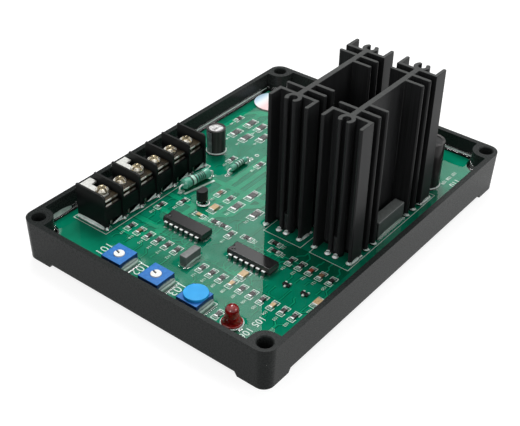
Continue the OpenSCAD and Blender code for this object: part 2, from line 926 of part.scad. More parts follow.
// Trimmers

module trimmer_body(i) {
    at = trimmer_at(i);
    color("#1f5fbf")
        difference() {
            translate(at)
                standing_box([trimmer_w, trimmer_w, trimmer_h], board_top);
            translate([at[0], at[1], trimmer_top - rotor_sunk - running_gap])
                cylinder(d = rotor_d + 2 * running_gap, h = rotor_sunk + cut);
            translate([at[0], at[1], trimmer_top - rotor_sunk - spindle_h - 2 * running_gap])
                cylinder(d = spindle_d + 2 * running_gap, h = spindle_h + cut);
        }
}

// Rotor: a disc on a short spindle, with a pointer slot from its middle to its rim
module trimmer_rotor(i) {
    at = trimmer_at(i);
    slot_w = 0.7;
    slot_l = rotor_d / 2 + cut;
    slot_depth = 0.5;
    color("#f2f2ee")
        translate([at[0], at[1], trimmer_top])
            difference() {
                union() {
                    translate([0, 0, -rotor_sunk])
                        cylinder(d = rotor_d, h = rotor_sunk + rotor_proud);
                    translate([0, 0, -rotor_sunk - spindle_h])
                        cylinder(d = spindle_d, h = spindle_h);
                }
                rotate(rotor_turn)
                    translate([0, slot_l / 2])
                        standing_box([slot_w, slot_l, slot_depth + cut], rotor_proud - slot_depth);
            }
}

module trimmer_1_body() {
    trimmer_body(0);
}

module trimmer_1_rotor() {
    trimmer_rotor(0);
}

module trimmer_2_body() {
    trimmer_body(1);
}

module trimmer_2_rotor() {
    trimmer_rotor(1);
}

module trimmer_3_body() {
    trimmer_body(2);
}

module trimmer_3_rotor() {
    trimmer_rotor(2);
}

module trimmer_3_seal() {
    at = trimmer_at(2);
    color("#3f9ff0")
        difference() {
            translate([at[0] + seal_shift[0], at[1] + seal_shift[1], trimmer_top])
                cylinder(d = seal_d, h = seal_t);
            translate([at[0], at[1], trimmer_top - cut])
                cylinder(d = rotor_d + 2 * running_gap, h = rotor_proud + running_gap + cut);
        }
}

module trimmer_pins() {
    color("silver")
        leads(trimmer_pin_points, trimmer_pin_d, board_top);
}

// Lamp

module lamp_lens() {
    dome_r = lamp_d / 2;
    color("#b01218")
        translate([lamp_at[0], lamp_at[1], board_top]) {
            cylinder(r = dome_r + lamp_flange, h = lamp_flange_h);
            cylinder(r = dome_r, h = lamp_h - dome_r);
            translate([0, 0, lamp_h - dome_r])
                sphere(dome_r);
        }
}

module lamp_leads() {
    color("silver")
        leads(lamp_lead_points, lamp_lead_d, board_top);
}

// Chips

// Cross-section with a parting line at half height
module chip_2d() {
    half = chip_w / 2;
    polygon([
        [chip_draft - half, 0], [half - chip_draft, 0], [half, chip_t / 2],
        [half - chip_draft, chip_t], [chip_draft - half, chip_t], [-half, chip_t / 2]
    ]);
}

module chip_body(at) {
    notch_r = 1;
    dot_r = 0.7;
    dot_inset = 2;
    mark_depth = 0.3;
    color("#2f3032")
        difference() {
            translate([at[0], at[1] + chip_l / 2, chip_bottom])
                rotate([90, 0, 0])
                    linear_extrude(chip_l)
                        chip_2d();
            translate([at[0], at[1] + chip_l / 2, chip_bottom + chip_t - mark_depth])
                cylinder(r = notch_r, h = mark_depth + cut);
            translate([at[0] - chip_w / 4, at[1] + chip_l / 2 - dot_inset, chip_bottom + chip_t - mark_depth])
                cylinder(r = dot_r, h = mark_depth + cut);
        }
}

// Legs: a shoulder out of the body's side, a wide drop and a narrow tip through the board
module chip_legs(at) {
    reach = chip_row_half + chip_leg_t / 2 - chip_w / 2;
    drop = chip_parting - chip_bottom;
    color("#cfd2d4")
        for (m = [0, 1], i = [0:chip_pins - 1])
            translate([at[0], at[1] + (i - (chip_pins - 1) / 2) * chip_pin_pitch, 0])
                mirror([m, 0, 0]) {
                    translate([chip_w / 2, -chip_shoulder_w / 2, chip_parting - chip_leg_t / 2])
                        cube([reach, chip_shoulder_w, chip_leg_t]);
                    translate([chip_row_half, 0, 0])
                        standing_box([chip_leg_t, chip_shoulder_w, drop], chip_bottom);
                    translate([chip_row_half, 0, 0])
                        standing_box([chip_leg_t, chip_leg_w, chip_parting - lead_bottom], lead_bottom);
                }
}

module chip_1_body() {
    chip_body(chip_1_place);
}

module chip_1_legs() {
    chip_legs(chip_1_place);
}

module chip_2_body() {
    chip_body(chip_2_place);
}

module chip_2_legs() {
    chip_legs(chip_2_place);
}

// Electrolytic capacitors

module can(at, d, h) {
    groove_r = 0.5;
    groove_z = 2;
    can_r = d / 2 - sleeve_t;
    color("#c9c9c9")
        translate([at[0], at[1], board_top])
            rotate_extrude()
                difference() {
                    square([can_r, h - sleeve_t]);
                    translate([can_r, groove_z])
                        circle(groove_r);
                }
}

// Shrunk sleeve that curls over the can's upper edge
module sleeve(at, d, h) {
    curl = d * 0.1;
    can_r = d / 2 - sleeve_t;
    color("#1c1d22")
        translate([at[0], at[1], board_top])
            rotate_extrude() {
                translate([can_r, 0])
                    square([sleeve_t, h]);
                translate([can_r - curl, h - sleeve_t])
                    square([curl + sleeve_t, sleeve_t]);
            }
}

module small_capacitor_can() {
    can(small_can_place, small_can_d, small_can_h);
}

module small_capacitor_sleeve() {
    sleeve(small_can_place, small_can_d, small_can_h);
}

module small_capacitor_leads() {
    color("silver")
        leads(pair_x(small_can_place, small_can_half), can_lead_d, board_top);
}

module tall_capacitor_can() {
    can(tall_can_place, tall_can_d, tall_can_h);
}

module tall_capacitor_sleeve() {
    sleeve(tall_can_place, tall_can_d, tall_can_h);
}

module tall_capacitor_leads() {
    color("silver")
        leads(pair_x(tall_can_place, tall_can_half), can_lead_d, board_top);
}

// Lying resistors

// Turned body with thicker ends, along X at the given height
module resistor_body(at, turn, length, d) {
    waist = 0.9;
    end_l = length * 0.22;
    translate([at[0], at[1], board_top + resistor_lift + d / 2])
        rotate([0, 90, turn])
            translate([0, 0, -length / 2]) {
                cylinder(d = d, h = end_l);
                cylinder(d = d * waist, h = length);
                translate([0, 0, length - end_l])
                    cylinder(d = d, h = end_l);
            }
}

// Wire from each end of the body, bent down through the board
module resistor_leads(at, turn, length, d) {
    axis_z = board_top + resistor_lift + d / 2;
    reach = lead_reach(length);
    color("#cfd2d4")
        translate([at[0], at[1], 0])
            for (m = [0, 180])
                rotate(turn + m) {
                    translate([length / 2, 0, axis_z])
                        rotate([0, 90, 0])
                            cylinder(d = resistor_lead_d, h = resistor_end - resistor_bend_r);
                    translate([reach - resistor_bend_r, 0, axis_z - resistor_bend_r])
                        rotate([90, 0, 0])
                            rotate_extrude(angle = 90)
                                translate([resistor_bend_r, 0])
                                    circle(d = resistor_lead_d);
                    translate([reach, 0, lead_bottom])
                        cylinder(d = resistor_lead_d, h = axis_z - resistor_bend_r - lead_bottom);
                }
}

module large_resistor_body() {
    color("#5fc3a4")
        resistor_body(large_resistor_place, large_resistor_turn, large_resistor_l, large_resistor_d);
}

module large_resistor_leads() {
    resistor_leads(large_resistor_place, large_resistor_turn, large_resistor_l, large_resistor_d);
}

module small_resistor_body() {
    color("#6fd0b0")
        resistor_body(small_resistor_place, 0, small_resistor_l, small_resistor_d);
}

module small_resistor_leads() {
    resistor_leads(small_resistor_place, 0, small_resistor_l, small_resistor_d);
}

// Transistor with a flat face toward the strip

module transistor_body() {
    flat_y = transistor_d * 0.3;
    color("#1a1a1a")
        translate([transistor_place[0], transistor_place[1], board_top + transistor_lift])
            difference() {
                cylinder(d = transistor_d, h = transistor_h);
                translate([-transistor_d, flat_y, -cut])
                    cube([2 * transistor_d, transistor_d, transistor_h + 2 * cut]);
            }
}

module transistor_leads() {
    color("silver")
        leads(transistor_points, transistor_lead_d, board_top + transistor_lift);
}

// Box capacitors

module small_box_capacitor() {
    color("#55585a")
        placed([small_box_place], small_box);
}

module small_box_leads() {
    color("silver")
        leads(pair_x(small_box_place, small_box_half), box_lead_d, board_top);
}

module large_box_capacitor() {
    color("#4a4e50")
        placed([large_box_place], large_box);
}

module large_box_leads() {
    color("silver")
        leads(pair_x(large_box_place, large_box_half), box_lead_d, board_top);
}

// Surface-mounted parts

module chip_resistors() {
    color("#2a2a2c") {
        placed(resistor_places, chip_resistor);
        placed(power_chip_places, power_chip);
    }
}

module chip_capacitors() {
    color("#c9a878")
        placed(capacitor_places, chip_capacitor);
}

module chip_transistors() {
    color("#202022")
        placed(chip_transistor_places, chip_transistor);
}

housing_tray();
circuit_board();
potting_resin();
round_sticker();
heatsink_1();
heatsink_2();
heatsink_screws();
power_device_1_body();
power_device_1_frame();
power_device_2_body();
power_device_2_frame();
device_screws();
terminal_block();
terminal_contact_1();
terminal_contact_2();
terminal_contact_3();
terminal_contact_4();
terminal_contact_5();
terminal_contact_6();
clamp_washers();
terminal_screws();
tab_lug_1();
tab_lug_3();
trimmer_1_body();
trimmer_1_rotor();
trimmer_2_body();
trimmer_2_rotor();
trimmer_3_body();
trimmer_3_rotor();
trimmer_3_seal();
trimmer_pins();
lamp_lens();
lamp_leads();
chip_1_body();
chip_1_legs();
chip_2_body();
chip_2_legs();
small_capacitor_can();
small_capacitor_sleeve();
small_capacitor_leads();
tall_capacitor_can();
tall_capacitor_sleeve();
tall_capacitor_leads();
large_resistor_body();
large_resistor_leads();
small_resistor_body();
small_resistor_leads();
transistor_body();
transistor_leads();
small_box_capacitor();
small_box_leads();
large_box_capacitor();
large_box_leads();
chip_resistors();
chip_capacitors();
chip_transistors();
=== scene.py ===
"""Looks of the automatic voltage regulator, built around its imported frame.

Sizes and places are in millimetres in the frame's axes, and become metres where a mesh or material is made.
"""
import json
import math
import random

import bmesh
import bpy
import numpy as np
from mathutils import Euler, Matrix, Vector

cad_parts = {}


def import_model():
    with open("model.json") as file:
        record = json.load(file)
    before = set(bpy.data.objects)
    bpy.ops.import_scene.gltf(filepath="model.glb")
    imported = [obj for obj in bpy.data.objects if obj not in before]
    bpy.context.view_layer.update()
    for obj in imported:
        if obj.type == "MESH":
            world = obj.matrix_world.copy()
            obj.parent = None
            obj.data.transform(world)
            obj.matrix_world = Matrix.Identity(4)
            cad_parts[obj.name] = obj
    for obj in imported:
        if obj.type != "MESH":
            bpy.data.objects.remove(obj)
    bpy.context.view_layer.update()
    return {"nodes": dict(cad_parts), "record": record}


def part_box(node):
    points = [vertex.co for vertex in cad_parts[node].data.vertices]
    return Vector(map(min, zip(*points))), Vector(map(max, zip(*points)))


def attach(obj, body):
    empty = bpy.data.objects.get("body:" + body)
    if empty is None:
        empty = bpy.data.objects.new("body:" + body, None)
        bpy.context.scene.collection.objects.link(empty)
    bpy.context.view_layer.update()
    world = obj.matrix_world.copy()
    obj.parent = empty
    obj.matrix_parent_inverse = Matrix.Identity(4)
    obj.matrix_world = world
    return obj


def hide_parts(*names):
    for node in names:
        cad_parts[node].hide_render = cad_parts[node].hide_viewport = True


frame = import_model()

MM = 0.001
BASE = "regulator"
WELD = 1e-6
FLAT = math.radians(0.5)
SHARP = math.radians(30)
UPWARD = 0.8
MITRE = 0.5

HEATSINKS = ("heatsink_1", "heatsink_2")
CHIP_BODIES = ("chip_1_body", "chip_2_body")
CHIP_LEGS = ("chip_1_legs", "chip_2_legs")
TRIMMERS = [f"trimmer_{i}_body" for i in (1, 2, 3)]
CONTACTS = [f"terminal_contact_{i}" for i in range(1, 7)]
SLEEVES = ("small_capacitor_sleeve", "tall_capacitor_sleeve")
BOX_CAPACITORS = ("small_box_capacitor", "large_box_capacitor")
RESISTOR_LEADS = ("large_resistor_leads", "small_resistor_leads")
SMALL_PARTS = ("chip_resistors", "chip_capacitors")


# Reading the frame

def span(node):
    """Lowest and highest corner of a CAD node."""
    low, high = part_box(node)
    return np.array(low) / MM, np.array(high) / MM


def middle(box):
    return (box[0] + box[1]) / 2


def round_part(node):
    """Plan centre and radius of an upright round CAD node."""
    low, high = span(node)
    x, y, _ = middle((low, high))
    return x, y, (high[0] - low[0]) / 2


def long_axis(box):
    """Index of the plan axis along which a box is longer."""
    size = box[1] - box[0]
    return 0 if size[0] > size[1] else 1


def welded(node):
    """A working copy of a CAD node's mesh with its split corners joined."""
    bm = bmesh.new()
    bm.from_mesh(frame["nodes"][node].data)
    bmesh.ops.remove_doubles(bm, verts=bm.verts, dist=WELD)
    return bm


def islands(node):
    """Boxes of the separate solids in a CAD node."""
    bm = welded(node)
    left = set(bm.verts)
    boxes = []
    while left:
        stack = [left.pop()]
        points = []
        while stack:
            vert = stack.pop()
            points.append(vert.co / MM)
            fresh = {edge.other_vert(vert) for edge in vert.link_edges} & left
            left -= fresh
            stack += fresh
        boxes.append((np.min(points, 0), np.max(points, 0)))
    bm.free()
    return sorted(boxes, key=lambda box: tuple(np.round(box[0], 2)))


def waterline(node, z):
    """Outline of a CAD node at a height, as pairs of plan points."""
    bm = welded(node)
    cut = bmesh.ops.bisect_plane(
        bm, geom=bm.verts[:] + bm.edges[:] + bm.faces[:], plane_co=(0, 0, z * MM), plane_no=(0, 0, 1)
    )
    edges = (e for e in cut["geom_cut"] if isinstance(e, bmesh.types.BMEdge))
    lines = [tuple(np.array(v.co.xy) / MM for v in e.verts) for e in edges]
    bm.free()
    return lines


BOARD_LOW, BOARD_HIGH = span("circuit_board")
BOARD_TOP = BOARD_HIGH[2]
RESIN_LOW, RESIN_HIGH = span("potting_resin")
RESIN_TOP = RESIN_HIGH[2]
CONTACT_X = [middle(span(node))[0] for node in CONTACTS]
PITCH = CONTACT_X[1] - CONTACT_X[0]


# Making pieces

def put(name, data):
    """A new object in the scene."""
    obj = bpy.data.objects.new(name, data)
    bpy.context.scene.collection.objects.link(obj)
    return obj


def meshed(name, bm, mats):
    """A mesh with materials from a working mesh, which is freed."""
    mesh = bpy.data.meshes.new(name)
    bm.to_mesh(mesh)
    bm.free()
    for mat in mats:
        mesh.materials.append(mat)
    return mesh


def piece(name, bm, mats, body=BASE, replaces=(), smooth=None):
    """A new object from a working mesh in metres, riding on a body."""
    mesh = meshed(name, bm, mats)
    if smooth is not None:
        mesh.shade_smooth()
        mesh.set_sharp_from_angle(angle=smooth)
    obj = put(name, mesh)
    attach(obj, body)
    if replaces:
        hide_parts(*replaces)
    return obj


def bevel(bm, edges, width, segments=2):
    """Rounds some edges over a width."""
    return bmesh.ops.bevel(
        bm, geom=edges, offset=width * MM, offset_type="OFFSET", segments=segments,
        profile=0.5, affect="EDGES", clamp_overlap=True,
    )


def softened(node, width, mat, segments, body=BASE):
    """A copy of a CAD node with its sharp edges rounded, in the node's place."""
    bm = welded(node)
    bmesh.ops.dissolve_limit(bm, angle_limit=FLAT, verts=bm.verts, edges=bm.edges)
    bevel(bm, [e for e in bm.edges if e.is_manifold and e.calc_face_angle(0) > SHARP], width, segments)
    obj = piece(node + "_shaped", bm, [mat], body, [node], SHARP)
    normals = obj.modifiers.new("even_shading", "WEIGHTED_NORMAL")
    normals.keep_sharp = True


def add_box(bm, low, high, rounding, index=0):
    """A box between two corners, with its edges rounded."""
    low, high = Vector(low) * MM, Vector(high) * MM
    made = bmesh.ops.create_cube(bm, matrix=Matrix.LocRotScale((low + high) / 2, None, high - low))
    rounded = bevel(bm, list({e for v in made["verts"] for e in v.link_edges}), rounding)
    for face in {f for v in rounded["verts"] for f in v.link_faces}:
        face.material_index = index


def add_ribbon(bm, points, width, z, thickness):
    """A flat strip along plan points, as a closed thin solid."""
    path = [Vector(p) for p in points]
    runs = [(b - a).normalized() for a, b in zip(path, path[1:])]
    left, right = [], []
    for p, before, after in zip(path, runs[:1] + runs, runs + runs[-1:]):
        along = (before + after).normalized()
        reach = Vector((-along.y, along.x)) * width / 2 / max(along.dot(before), MITRE)
        left.append(p + reach)
        right.append(p - reach)
    add_prism(bm, left + right[::-1], z, thickness)


def add_skin(bm, rings):
    """Faces between each ring of corners and the next, as a list for each step."""
    steps = []
    for a, b in zip(rings, rings[1:]):
        after = [*range(1, len(a)), 0]
        steps.append([bm.faces.new((a[k], b[k], b[n], a[n])) for k, n in enumerate(after)])
    return steps


def add_loft(bm, rings):
    """A skin over rings of corners, closed at both ends."""
    bm.faces.new(rings[0])
    bm.faces.new(rings[-1][::-1])
    return add_skin(bm, rings)


def add_prism(bm, outline, z, thickness):
    """A closed plate with a plan outline and its top at z."""
    low, high = (
        [bm.verts.new((x * MM, y * MM, level * MM)) for x, y in outline] for level in (z - thickness, z)
    )
    add_loft(bm, [high, low])


def around(x, y, radius, angles):
    return [(x + radius * math.cos(a), y + radius * math.sin(a)) for a in angles]


def circle(sides):
    """Angles of the corners of a round outline."""
    return [2 * math.pi * i / sides for i in range(sides)]


def add_disc(bm, x, y, radius, z, thickness, sides=20):
    add_prism(bm, around(x, y, radius, circle(sides)), z, thickness)


def add_lathe(bm, profile, matrix, bands=(), sides=40):
    """A solid turned about the local X axis from (x, radius) points; bands are its steps' materials."""
    rings = []
    for x, radius in profile:
        points = (Vector((x, y, z)) * MM for y, z in around(0, 0, radius, circle(sides)))
        rings.append([bm.verts.new(matrix @ p) for p in points])
    for faces, band in zip(add_loft(bm, rings), bands):
        for face in faces:
            face.material_index = band
    bmesh.ops.recalc_face_normals(bm, faces=bm.faces)


# Parts of materials

METAL = 1.0
GLOSS = "Specular IOR Level"
PURE_WHITE = (1, 1, 1, 1)
NOISE_DETAIL = 4.0
# Span that most of a noise's values keep to
NOISE_SPAN = (0.3, 0.7)
# Depth of a relief as a share of its grain
RELIEF_SHARE = 0.1
# Places of the colour sockets of a Mix node
MIX_FIRST, MIX_SECOND, MIX_RESULT = 6, 7, 2


def fill(owner, node, values):
    """Sets some inputs of a node to numbers, or wires them to other nodes' results."""
    for name, value in values.items():
        if isinstance(value, bpy.types.NodeSocket):
            owner.node_tree.links.new(value, node.inputs[name])
        else:
            node.inputs[name].default_value = value


def add(owner, kind, values=None):
    """A new node in a material or world with some of its inputs filled."""
    made = owner.node_tree.nodes.new("ShaderNode" + kind)
    fill(owner, made, values or {})
    return made


def calc(owner, operation, *terms):
    """Result of a calculation on numbers and other nodes' results."""
    made = add(owner, "Math")
    made.operation = operation
    fill(owner, made, dict(enumerate(terms)))
    return made.outputs[0]


def material(name, sockets=None):
    """A new material and its shader, with some of the shader's inputs filled."""
    mat = bpy.data.materials.new(name)
    mat.use_nodes = True
    shader = mat.node_tree.nodes["Principled BSDF"]
    fill(mat, shader, sockets or {})
    return mat, shader


def shade(mat, result):
    """Puts another shader in the place of a material's own."""
    nodes = mat.node_tree.nodes
    nodes.remove(nodes["Principled BSDF"])
    fill(mat, nodes["Material Output"], {"Surface": result})


def banded_ramp(mat, source, bands):
    """A colour that follows a value through several (place, colour) stops."""
    ramp = add(mat, "ValToRGB", {"Fac": source})
    stops = ramp.color_ramp.elements
    for place, _ in bands[1:-1]:
        stops.new(place)
    for stop, (place, colour) in zip(stops, bands):
        stop.position = place
        stop.color = (*colour, 1)
    return ramp.outputs[0]


def ramp_between(mat, source, *colours):
    """A colour that goes between two colours over the span of a noise."""
    return banded_ramp(mat, source, tuple(zip(NOISE_SPAN, colours)))


def mapped(owner, value, start, end, levels=(0, 1), clamp=True):
    """A value that goes between two levels while another goes from a start to an end."""
    ends = {"From Min": start, "From Max": end, "To Min": levels[0], "To Max": levels[1]}
    made = add(owner, "MapRange", {"Value": value, **ends})
    made.clamp = clamp
    return made.outputs[0]


def noise_at(mat, grain, stretch=(1, 1, 1)):
    """A noise value with a grain, drawn out along the axes with a small stretch."""
    place = add(mat, "TexCoord").outputs["Object"]
    drawn = add(mat, "Mapping", {"Vector": place, "Scale": stretch}).outputs[0]
    noise = {"Vector": drawn, "Scale": 1 / (grain * MM), "Detail": NOISE_DETAIL}
    return add(mat, "TexNoise", noise).outputs["Fac"]


def wavered(mat, value, grain, share):
    return calc(mat, "MULTIPLY_ADD", noise_at(mat, grain), share, value)


def axis_value(mat, axis, start, end, levels=(0, 1), clamp=True):
    """A value that goes between two levels from one place to another along an axis."""
    place = add(mat, "TexCoord").outputs["Object"]
    along = add(mat, "SeparateXYZ", {"Vector": place}).outputs[axis]
    return mapped(mat, along, start * MM, end * MM, levels, clamp)


def upward_pick(mat, sides, tops):
    """One colour on upward faces and another on the rest."""
    normal = add(mat, "NewGeometry").outputs["True Normal"]
    upward = add(mat, "SeparateXYZ", {"Vector": normal}).outputs["Z"]
    pick = add(mat, "Mix")
    pick.data_type = "RGBA"
    is_top = calc(mat, "GREATER_THAN", upward, UPWARD)
    fill(mat, pick, {"Factor": is_top, MIX_FIRST: sides, MIX_SECOND: tops})
    return pick.outputs[MIX_RESULT]


def relief(mat, value, strength, depth):
    """A normal that follows a value as a height."""
    return add(mat, "Bump", {"Height": value, "Strength": strength, "Distance": depth * MM}).outputs[0]


# Materials

def surface(
    name, low, high, grain, rough=(0.25, 0.35), metallic=0, bump=0, stretch=(1, 1, 1), sockets=None, top=None
):
    """A material that varies with a noise. With top, upward faces vary between its two colours instead."""
    mat, shader = material(name, sockets)
    value = noise_at(mat, grain, stretch)
    colour = ramp_between(mat, value, low, high)
    if top:
        colour = upward_pick(mat, colour, ramp_between(mat, value, *top))
    roughness = mapped(mat, value, *NOISE_SPAN, rough)
    fill(mat, shader, {"Base Color": colour, "Roughness": roughness, "Metallic": metallic})
    if bump:
        fill(mat, shader, {"Normal": relief(mat, value, bump, grain * RELIEF_SHARE)})
    return mat


def anodised():
    """Black anodised extrusion: fine upright drawing lines, and paler sawn ends on top."""
    mat, shader = material("black_anodised", {GLOSS: 0.12})
    lines = noise_at(mat, grain=0.35, stretch=(1, 1, 0.01))
    saw = noise_at(mat, grain=0.2, stretch=(1, 0.12, 1))
    sides = ramp_between(mat, lines, (0.009, 0.0092, 0.0096), (0.022, 0.0226, 0.0235))
    ends = ramp_between(mat, saw, (0.024, 0.0255, 0.0248), (0.055, 0.057, 0.0555))
    fill(mat, shader, {
        "Base Color": upward_pick(mat, sides, ends),
        "Roughness": mapped(mat, lines, *NOISE_SPAN, (0.3, 0.45)),
        "Normal": relief(mat, lines, strength=0.12, depth=0.03),
    })
    return mat


def clear_resin():
    """Clear potting: what lies under it shows through, with a smooth wet gloss on top."""
    mat, _ = material("clear_resin")
    ripple = relief(mat, noise_at(mat, grain=14), strength=0.04, depth=0.05)
    clear = add(mat, "BsdfTransparent", {"Color": (0.95, 1.0, 0.975, 1)})
    gloss = add(mat, "BsdfGlossy", {"Color": PURE_WHITE, "Roughness": 0.01, "Normal": ripple})
    edge = add(mat, "Fresnel", {"IOR": 1.48, "Normal": ripple})
    mix = add(mat, "MixShader", {0: edge.outputs[0], 1: clear.outputs[0], 2: gloss.outputs[0]})
    shade(mat, mix.outputs[0])
    return mat


def graded(name, sockets, axis, start, end, bands, grain, share):
    """A material whose colour follows a place along an axis, with a waver, through several stops."""
    mat, shader = material(name, sockets)
    value = wavered(mat, axis_value(mat, axis, start, end), grain, share)
    fill(mat, shader, {"Base Color": banded_ramp(mat, value, bands)})
    return mat


def stamped_painted_light():
    """Contact metal with painted light: tops painted dark as painted shade, and front edges with a painted
    highlight over the left half of each contact and painted shade over the right half.
    """
    mat, shader = material("stamped_brass_painted_light", {GLOSS: 0.3, "Roughness": 0.25})
    start = CONTACT_X[0] - PITCH / 2
    share = calc(mat, "FRACT", axis_value(mat, "X", start, start + PITCH, clamp=False))
    # Painted highlight on the front edges left of each contact's middle, painted shade to the right of it
    bands = (
        (0.1, (0.03, 0.025, 0.015)), (0.17, (0.9, 0.87, 0.78)), (0.5, (0.95, 0.93, 0.86)),
        (0.6, (0.12, 0.1, 0.07)), (0.8, (0.2, 0.19, 0.17)), (0.95, (0.02, 0.018, 0.015)),
    )
    edges = banded_ramp(mat, wavered(mat, share, grain=1.2, share=0.1), bands)
    # Upward faces painted dark, as painted shade
    tops = ramp_between(mat, noise_at(mat, grain=2.5), (0.01, 0.0075, 0.0045), (0.05, 0.037, 0.02))
    fill(mat, shader, {"Base Color": upward_pick(mat, edges, tops)})
    return mat


WET = {GLOSS: 0.0}
DULL = {GLOSS: 0.2}
TRAY = surface(
    "tray_plastic", (0.0125, 0.0145, 0.014), (0.02, 0.0225, 0.022), 0.6, (0.22, 0.34),
    bump=0.25, sockets={GLOSS: 0.08},
)
ANODISED = anodised()
RESIN = clear_resin()
MASK = surface("board_mask", (0.001, 0.19, 0.11), (0.003, 0.27, 0.165), 9, (0.4, 0.5), sockets=WET)
GAPS = surface("board_gaps", (0.001, 0.11, 0.06), (0.002, 0.14, 0.08), 5, (0.4, 0.5), sockets=WET)
TRACK = surface("board_tracks", (0.004, 0.28, 0.16), (0.008, 0.36, 0.2), 6, (0.4, 0.5), sockets=WET)
PRINT = surface("white_print_and_painted_highlight", (0.78, 0.86, 0.82), (0.93, 0.96, 0.94), 0.5, (0.5, 0.6), sockets=WET)
TINNED = surface("tinned", (0.7, 0.71, 0.7), (0.88, 0.89, 0.87), 0.8, (0.2, 0.34), metallic=0.25, bump=0.2)
# Dimmer tin for the end cap at the high end of each small part, as painted shade
TIN_PAINTED_SHADE = surface("tin_painted_shade", (0.2, 0.21, 0.2), (0.42, 0.43, 0.42), 0.8, (0.2, 0.34), metallic=0.25, bump=0.2)
# Chip legs: bright shoulders, and darker lower down as painted shade
SHOULDER_Z = span(CHIP_LEGS[0])[1][2]
LEG_PAINTED_SHADE = graded(
    "leg_tin_painted_shade", {"Metallic": 0.25, "Roughness": 0.25}, "Z", SHOULDER_Z - 0.4, SHOULDER_Z - 0.1,
    ((0.3, (0.05, 0.09, 0.075)), (0.7, (0.9, 0.91, 0.9))), grain=0.8, share=0.15,
)
LUG = surface("tab_tin", (0.56, 0.565, 0.53), (0.72, 0.725, 0.69), 0.7, (0.3, 0.42), metallic=0.3, bump=0.2)
STEEL = surface("plated_steel", (0.5, 0.5, 0.5), (0.66, 0.66, 0.65), 1.2, (0.2, 0.35), METAL, 0.1)
# Dark steel for the heatsink screws
DARK_STEEL = surface(
    "dark_steel", (0.008, 0.008, 0.009), (0.03, 0.03, 0.032), 0.6, (0.3, 0.45), metallic=0.4, bump=0.1
)
# Strip body: black, with a painted sheen that turns greyer toward the tops of the barriers
STRIP_TOP = span("terminal_block")[1][2]
BLOCK_PAINTED_SHEEN = graded(
    "block_plastic", {GLOSS: 0.1, "Roughness": 0.3}, "Z", STRIP_TOP - 7, STRIP_TOP + 1,
    ((0.3, (0.005, 0.0056, 0.0058)), (0.7, (0.02, 0.021, 0.0205))), grain=1.4, share=0.12,
)
# Screw heads: upward faces darker as painted shade, and the other faces brighter as painted glints
NICKEL_PAINTED_LIGHT = surface(
    "nickel_brass_painted_light", (0.12, 0.09, 0.05), (0.95, 0.92, 0.82), 1.4, (0.1, 0.24), metallic=0.6, bump=0.3,
    top=((0.02, 0.013, 0.005), (0.66, 0.54, 0.32)),
)
STAMPED_PAINTED_LIGHT = stamped_painted_light()
# Trimmer bodies: sides painted navy as painted shade, tops a brighter blue
BLUE_PAINTED_SHADE = surface(
    "trimmer_blue", (0.004, 0.025, 0.1), (0.006, 0.04, 0.16), 1.1, (0.3, 0.42), bump=0.15, sockets=DULL,
    top=((0.014, 0.13, 0.42), (0.025, 0.18, 0.52)),
)
WHITE = surface("rotor_white", (0.66, 0.66, 0.63), (0.8, 0.8, 0.77), 0.7, (0.4, 0.5))
SEAL = surface("seal_blue", (0.012, 0.29, 0.66), (0.018, 0.34, 0.73), 3, (0.28, 0.36), sockets=DULL)
LAMP = surface(
    "lamp_red", (0.1, 0.003, 0.003), (0.3, 0.01, 0.008), 2.0, (0.02, 0.05),
    sockets={GLOSS: 0.6, "Transmission Weight": 0.1},
)
# Chip bodies: sides a little lighter than the tops, as a painted sheen
EPOXY_PAINTED_SHEEN = surface(
    "epoxy_black", (0.012, 0.0125, 0.012), (0.035, 0.036, 0.035), 0.5, (0.06, 0.12),
    top=((0.008, 0.008, 0.0085), (0.018, 0.018, 0.0185)),
)
ALUMINIUM = surface("can_aluminium", (0.26, 0.25, 0.25), (0.74, 0.73, 0.73), 1.2, (0.25, 0.4), METAL, 0.1)
SLEEVE = surface(
    "sleeve_black", (0.008, 0.008, 0.009), (0.075, 0.07, 0.068), 1.8, (0.12, 0.22),
    stretch=(1, 1, 0.04), sockets=DULL,
)
STRIPE = surface("sleeve_stripe", (0.2, 0.2, 0.22), (0.3, 0.3, 0.32), 2, (0.2, 0.3))
GREEN = surface("resistor_green", (0.06, 0.3, 0.2), (0.15, 0.47, 0.35), 1.5, (0.2, 0.3))
BAND_PALE = surface("resistor_pale_band", (0.34, 0.62, 0.5), (0.5, 0.72, 0.62), 0.8)
BAND_DARK = surface("resistor_dark_band", (0.008, 0.02, 0.016), (0.015, 0.035, 0.028), 0.8)
# Box capacitors: upward faces painted lighter than the sides, as painted top light
BOX_GREY_PAINTED_TOP_LIGHT = surface(
    "box_grey", (0.045, 0.051, 0.051), (0.08, 0.088, 0.087), 1.2, (0.3, 0.45), bump=0.1,
    top=((0.09, 0.098, 0.095), (0.14, 0.15, 0.146)),
)
TAN = surface("ceramic_tan", (0.42, 0.28, 0.13), (0.58, 0.41, 0.22), 0.9)
BROWN = surface("ceramic_brown", (0.12, 0.06, 0.03), (0.2, 0.11, 0.055), 0.7)
RUST = surface("ceramic_rust", (0.16, 0.03, 0.015), (0.24, 0.05, 0.025), 0.7)
# Beads of clear resin painted white, as painted glints
PAINTED_GLINT = surface(
    "resin_painted_glint", (0.6, 0.64, 0.63), (0.9, 0.93, 0.92), 2, (0.08, 0.15),
    sockets={"Coat Weight": 1.0, "Coat Roughness": 0.04},
)
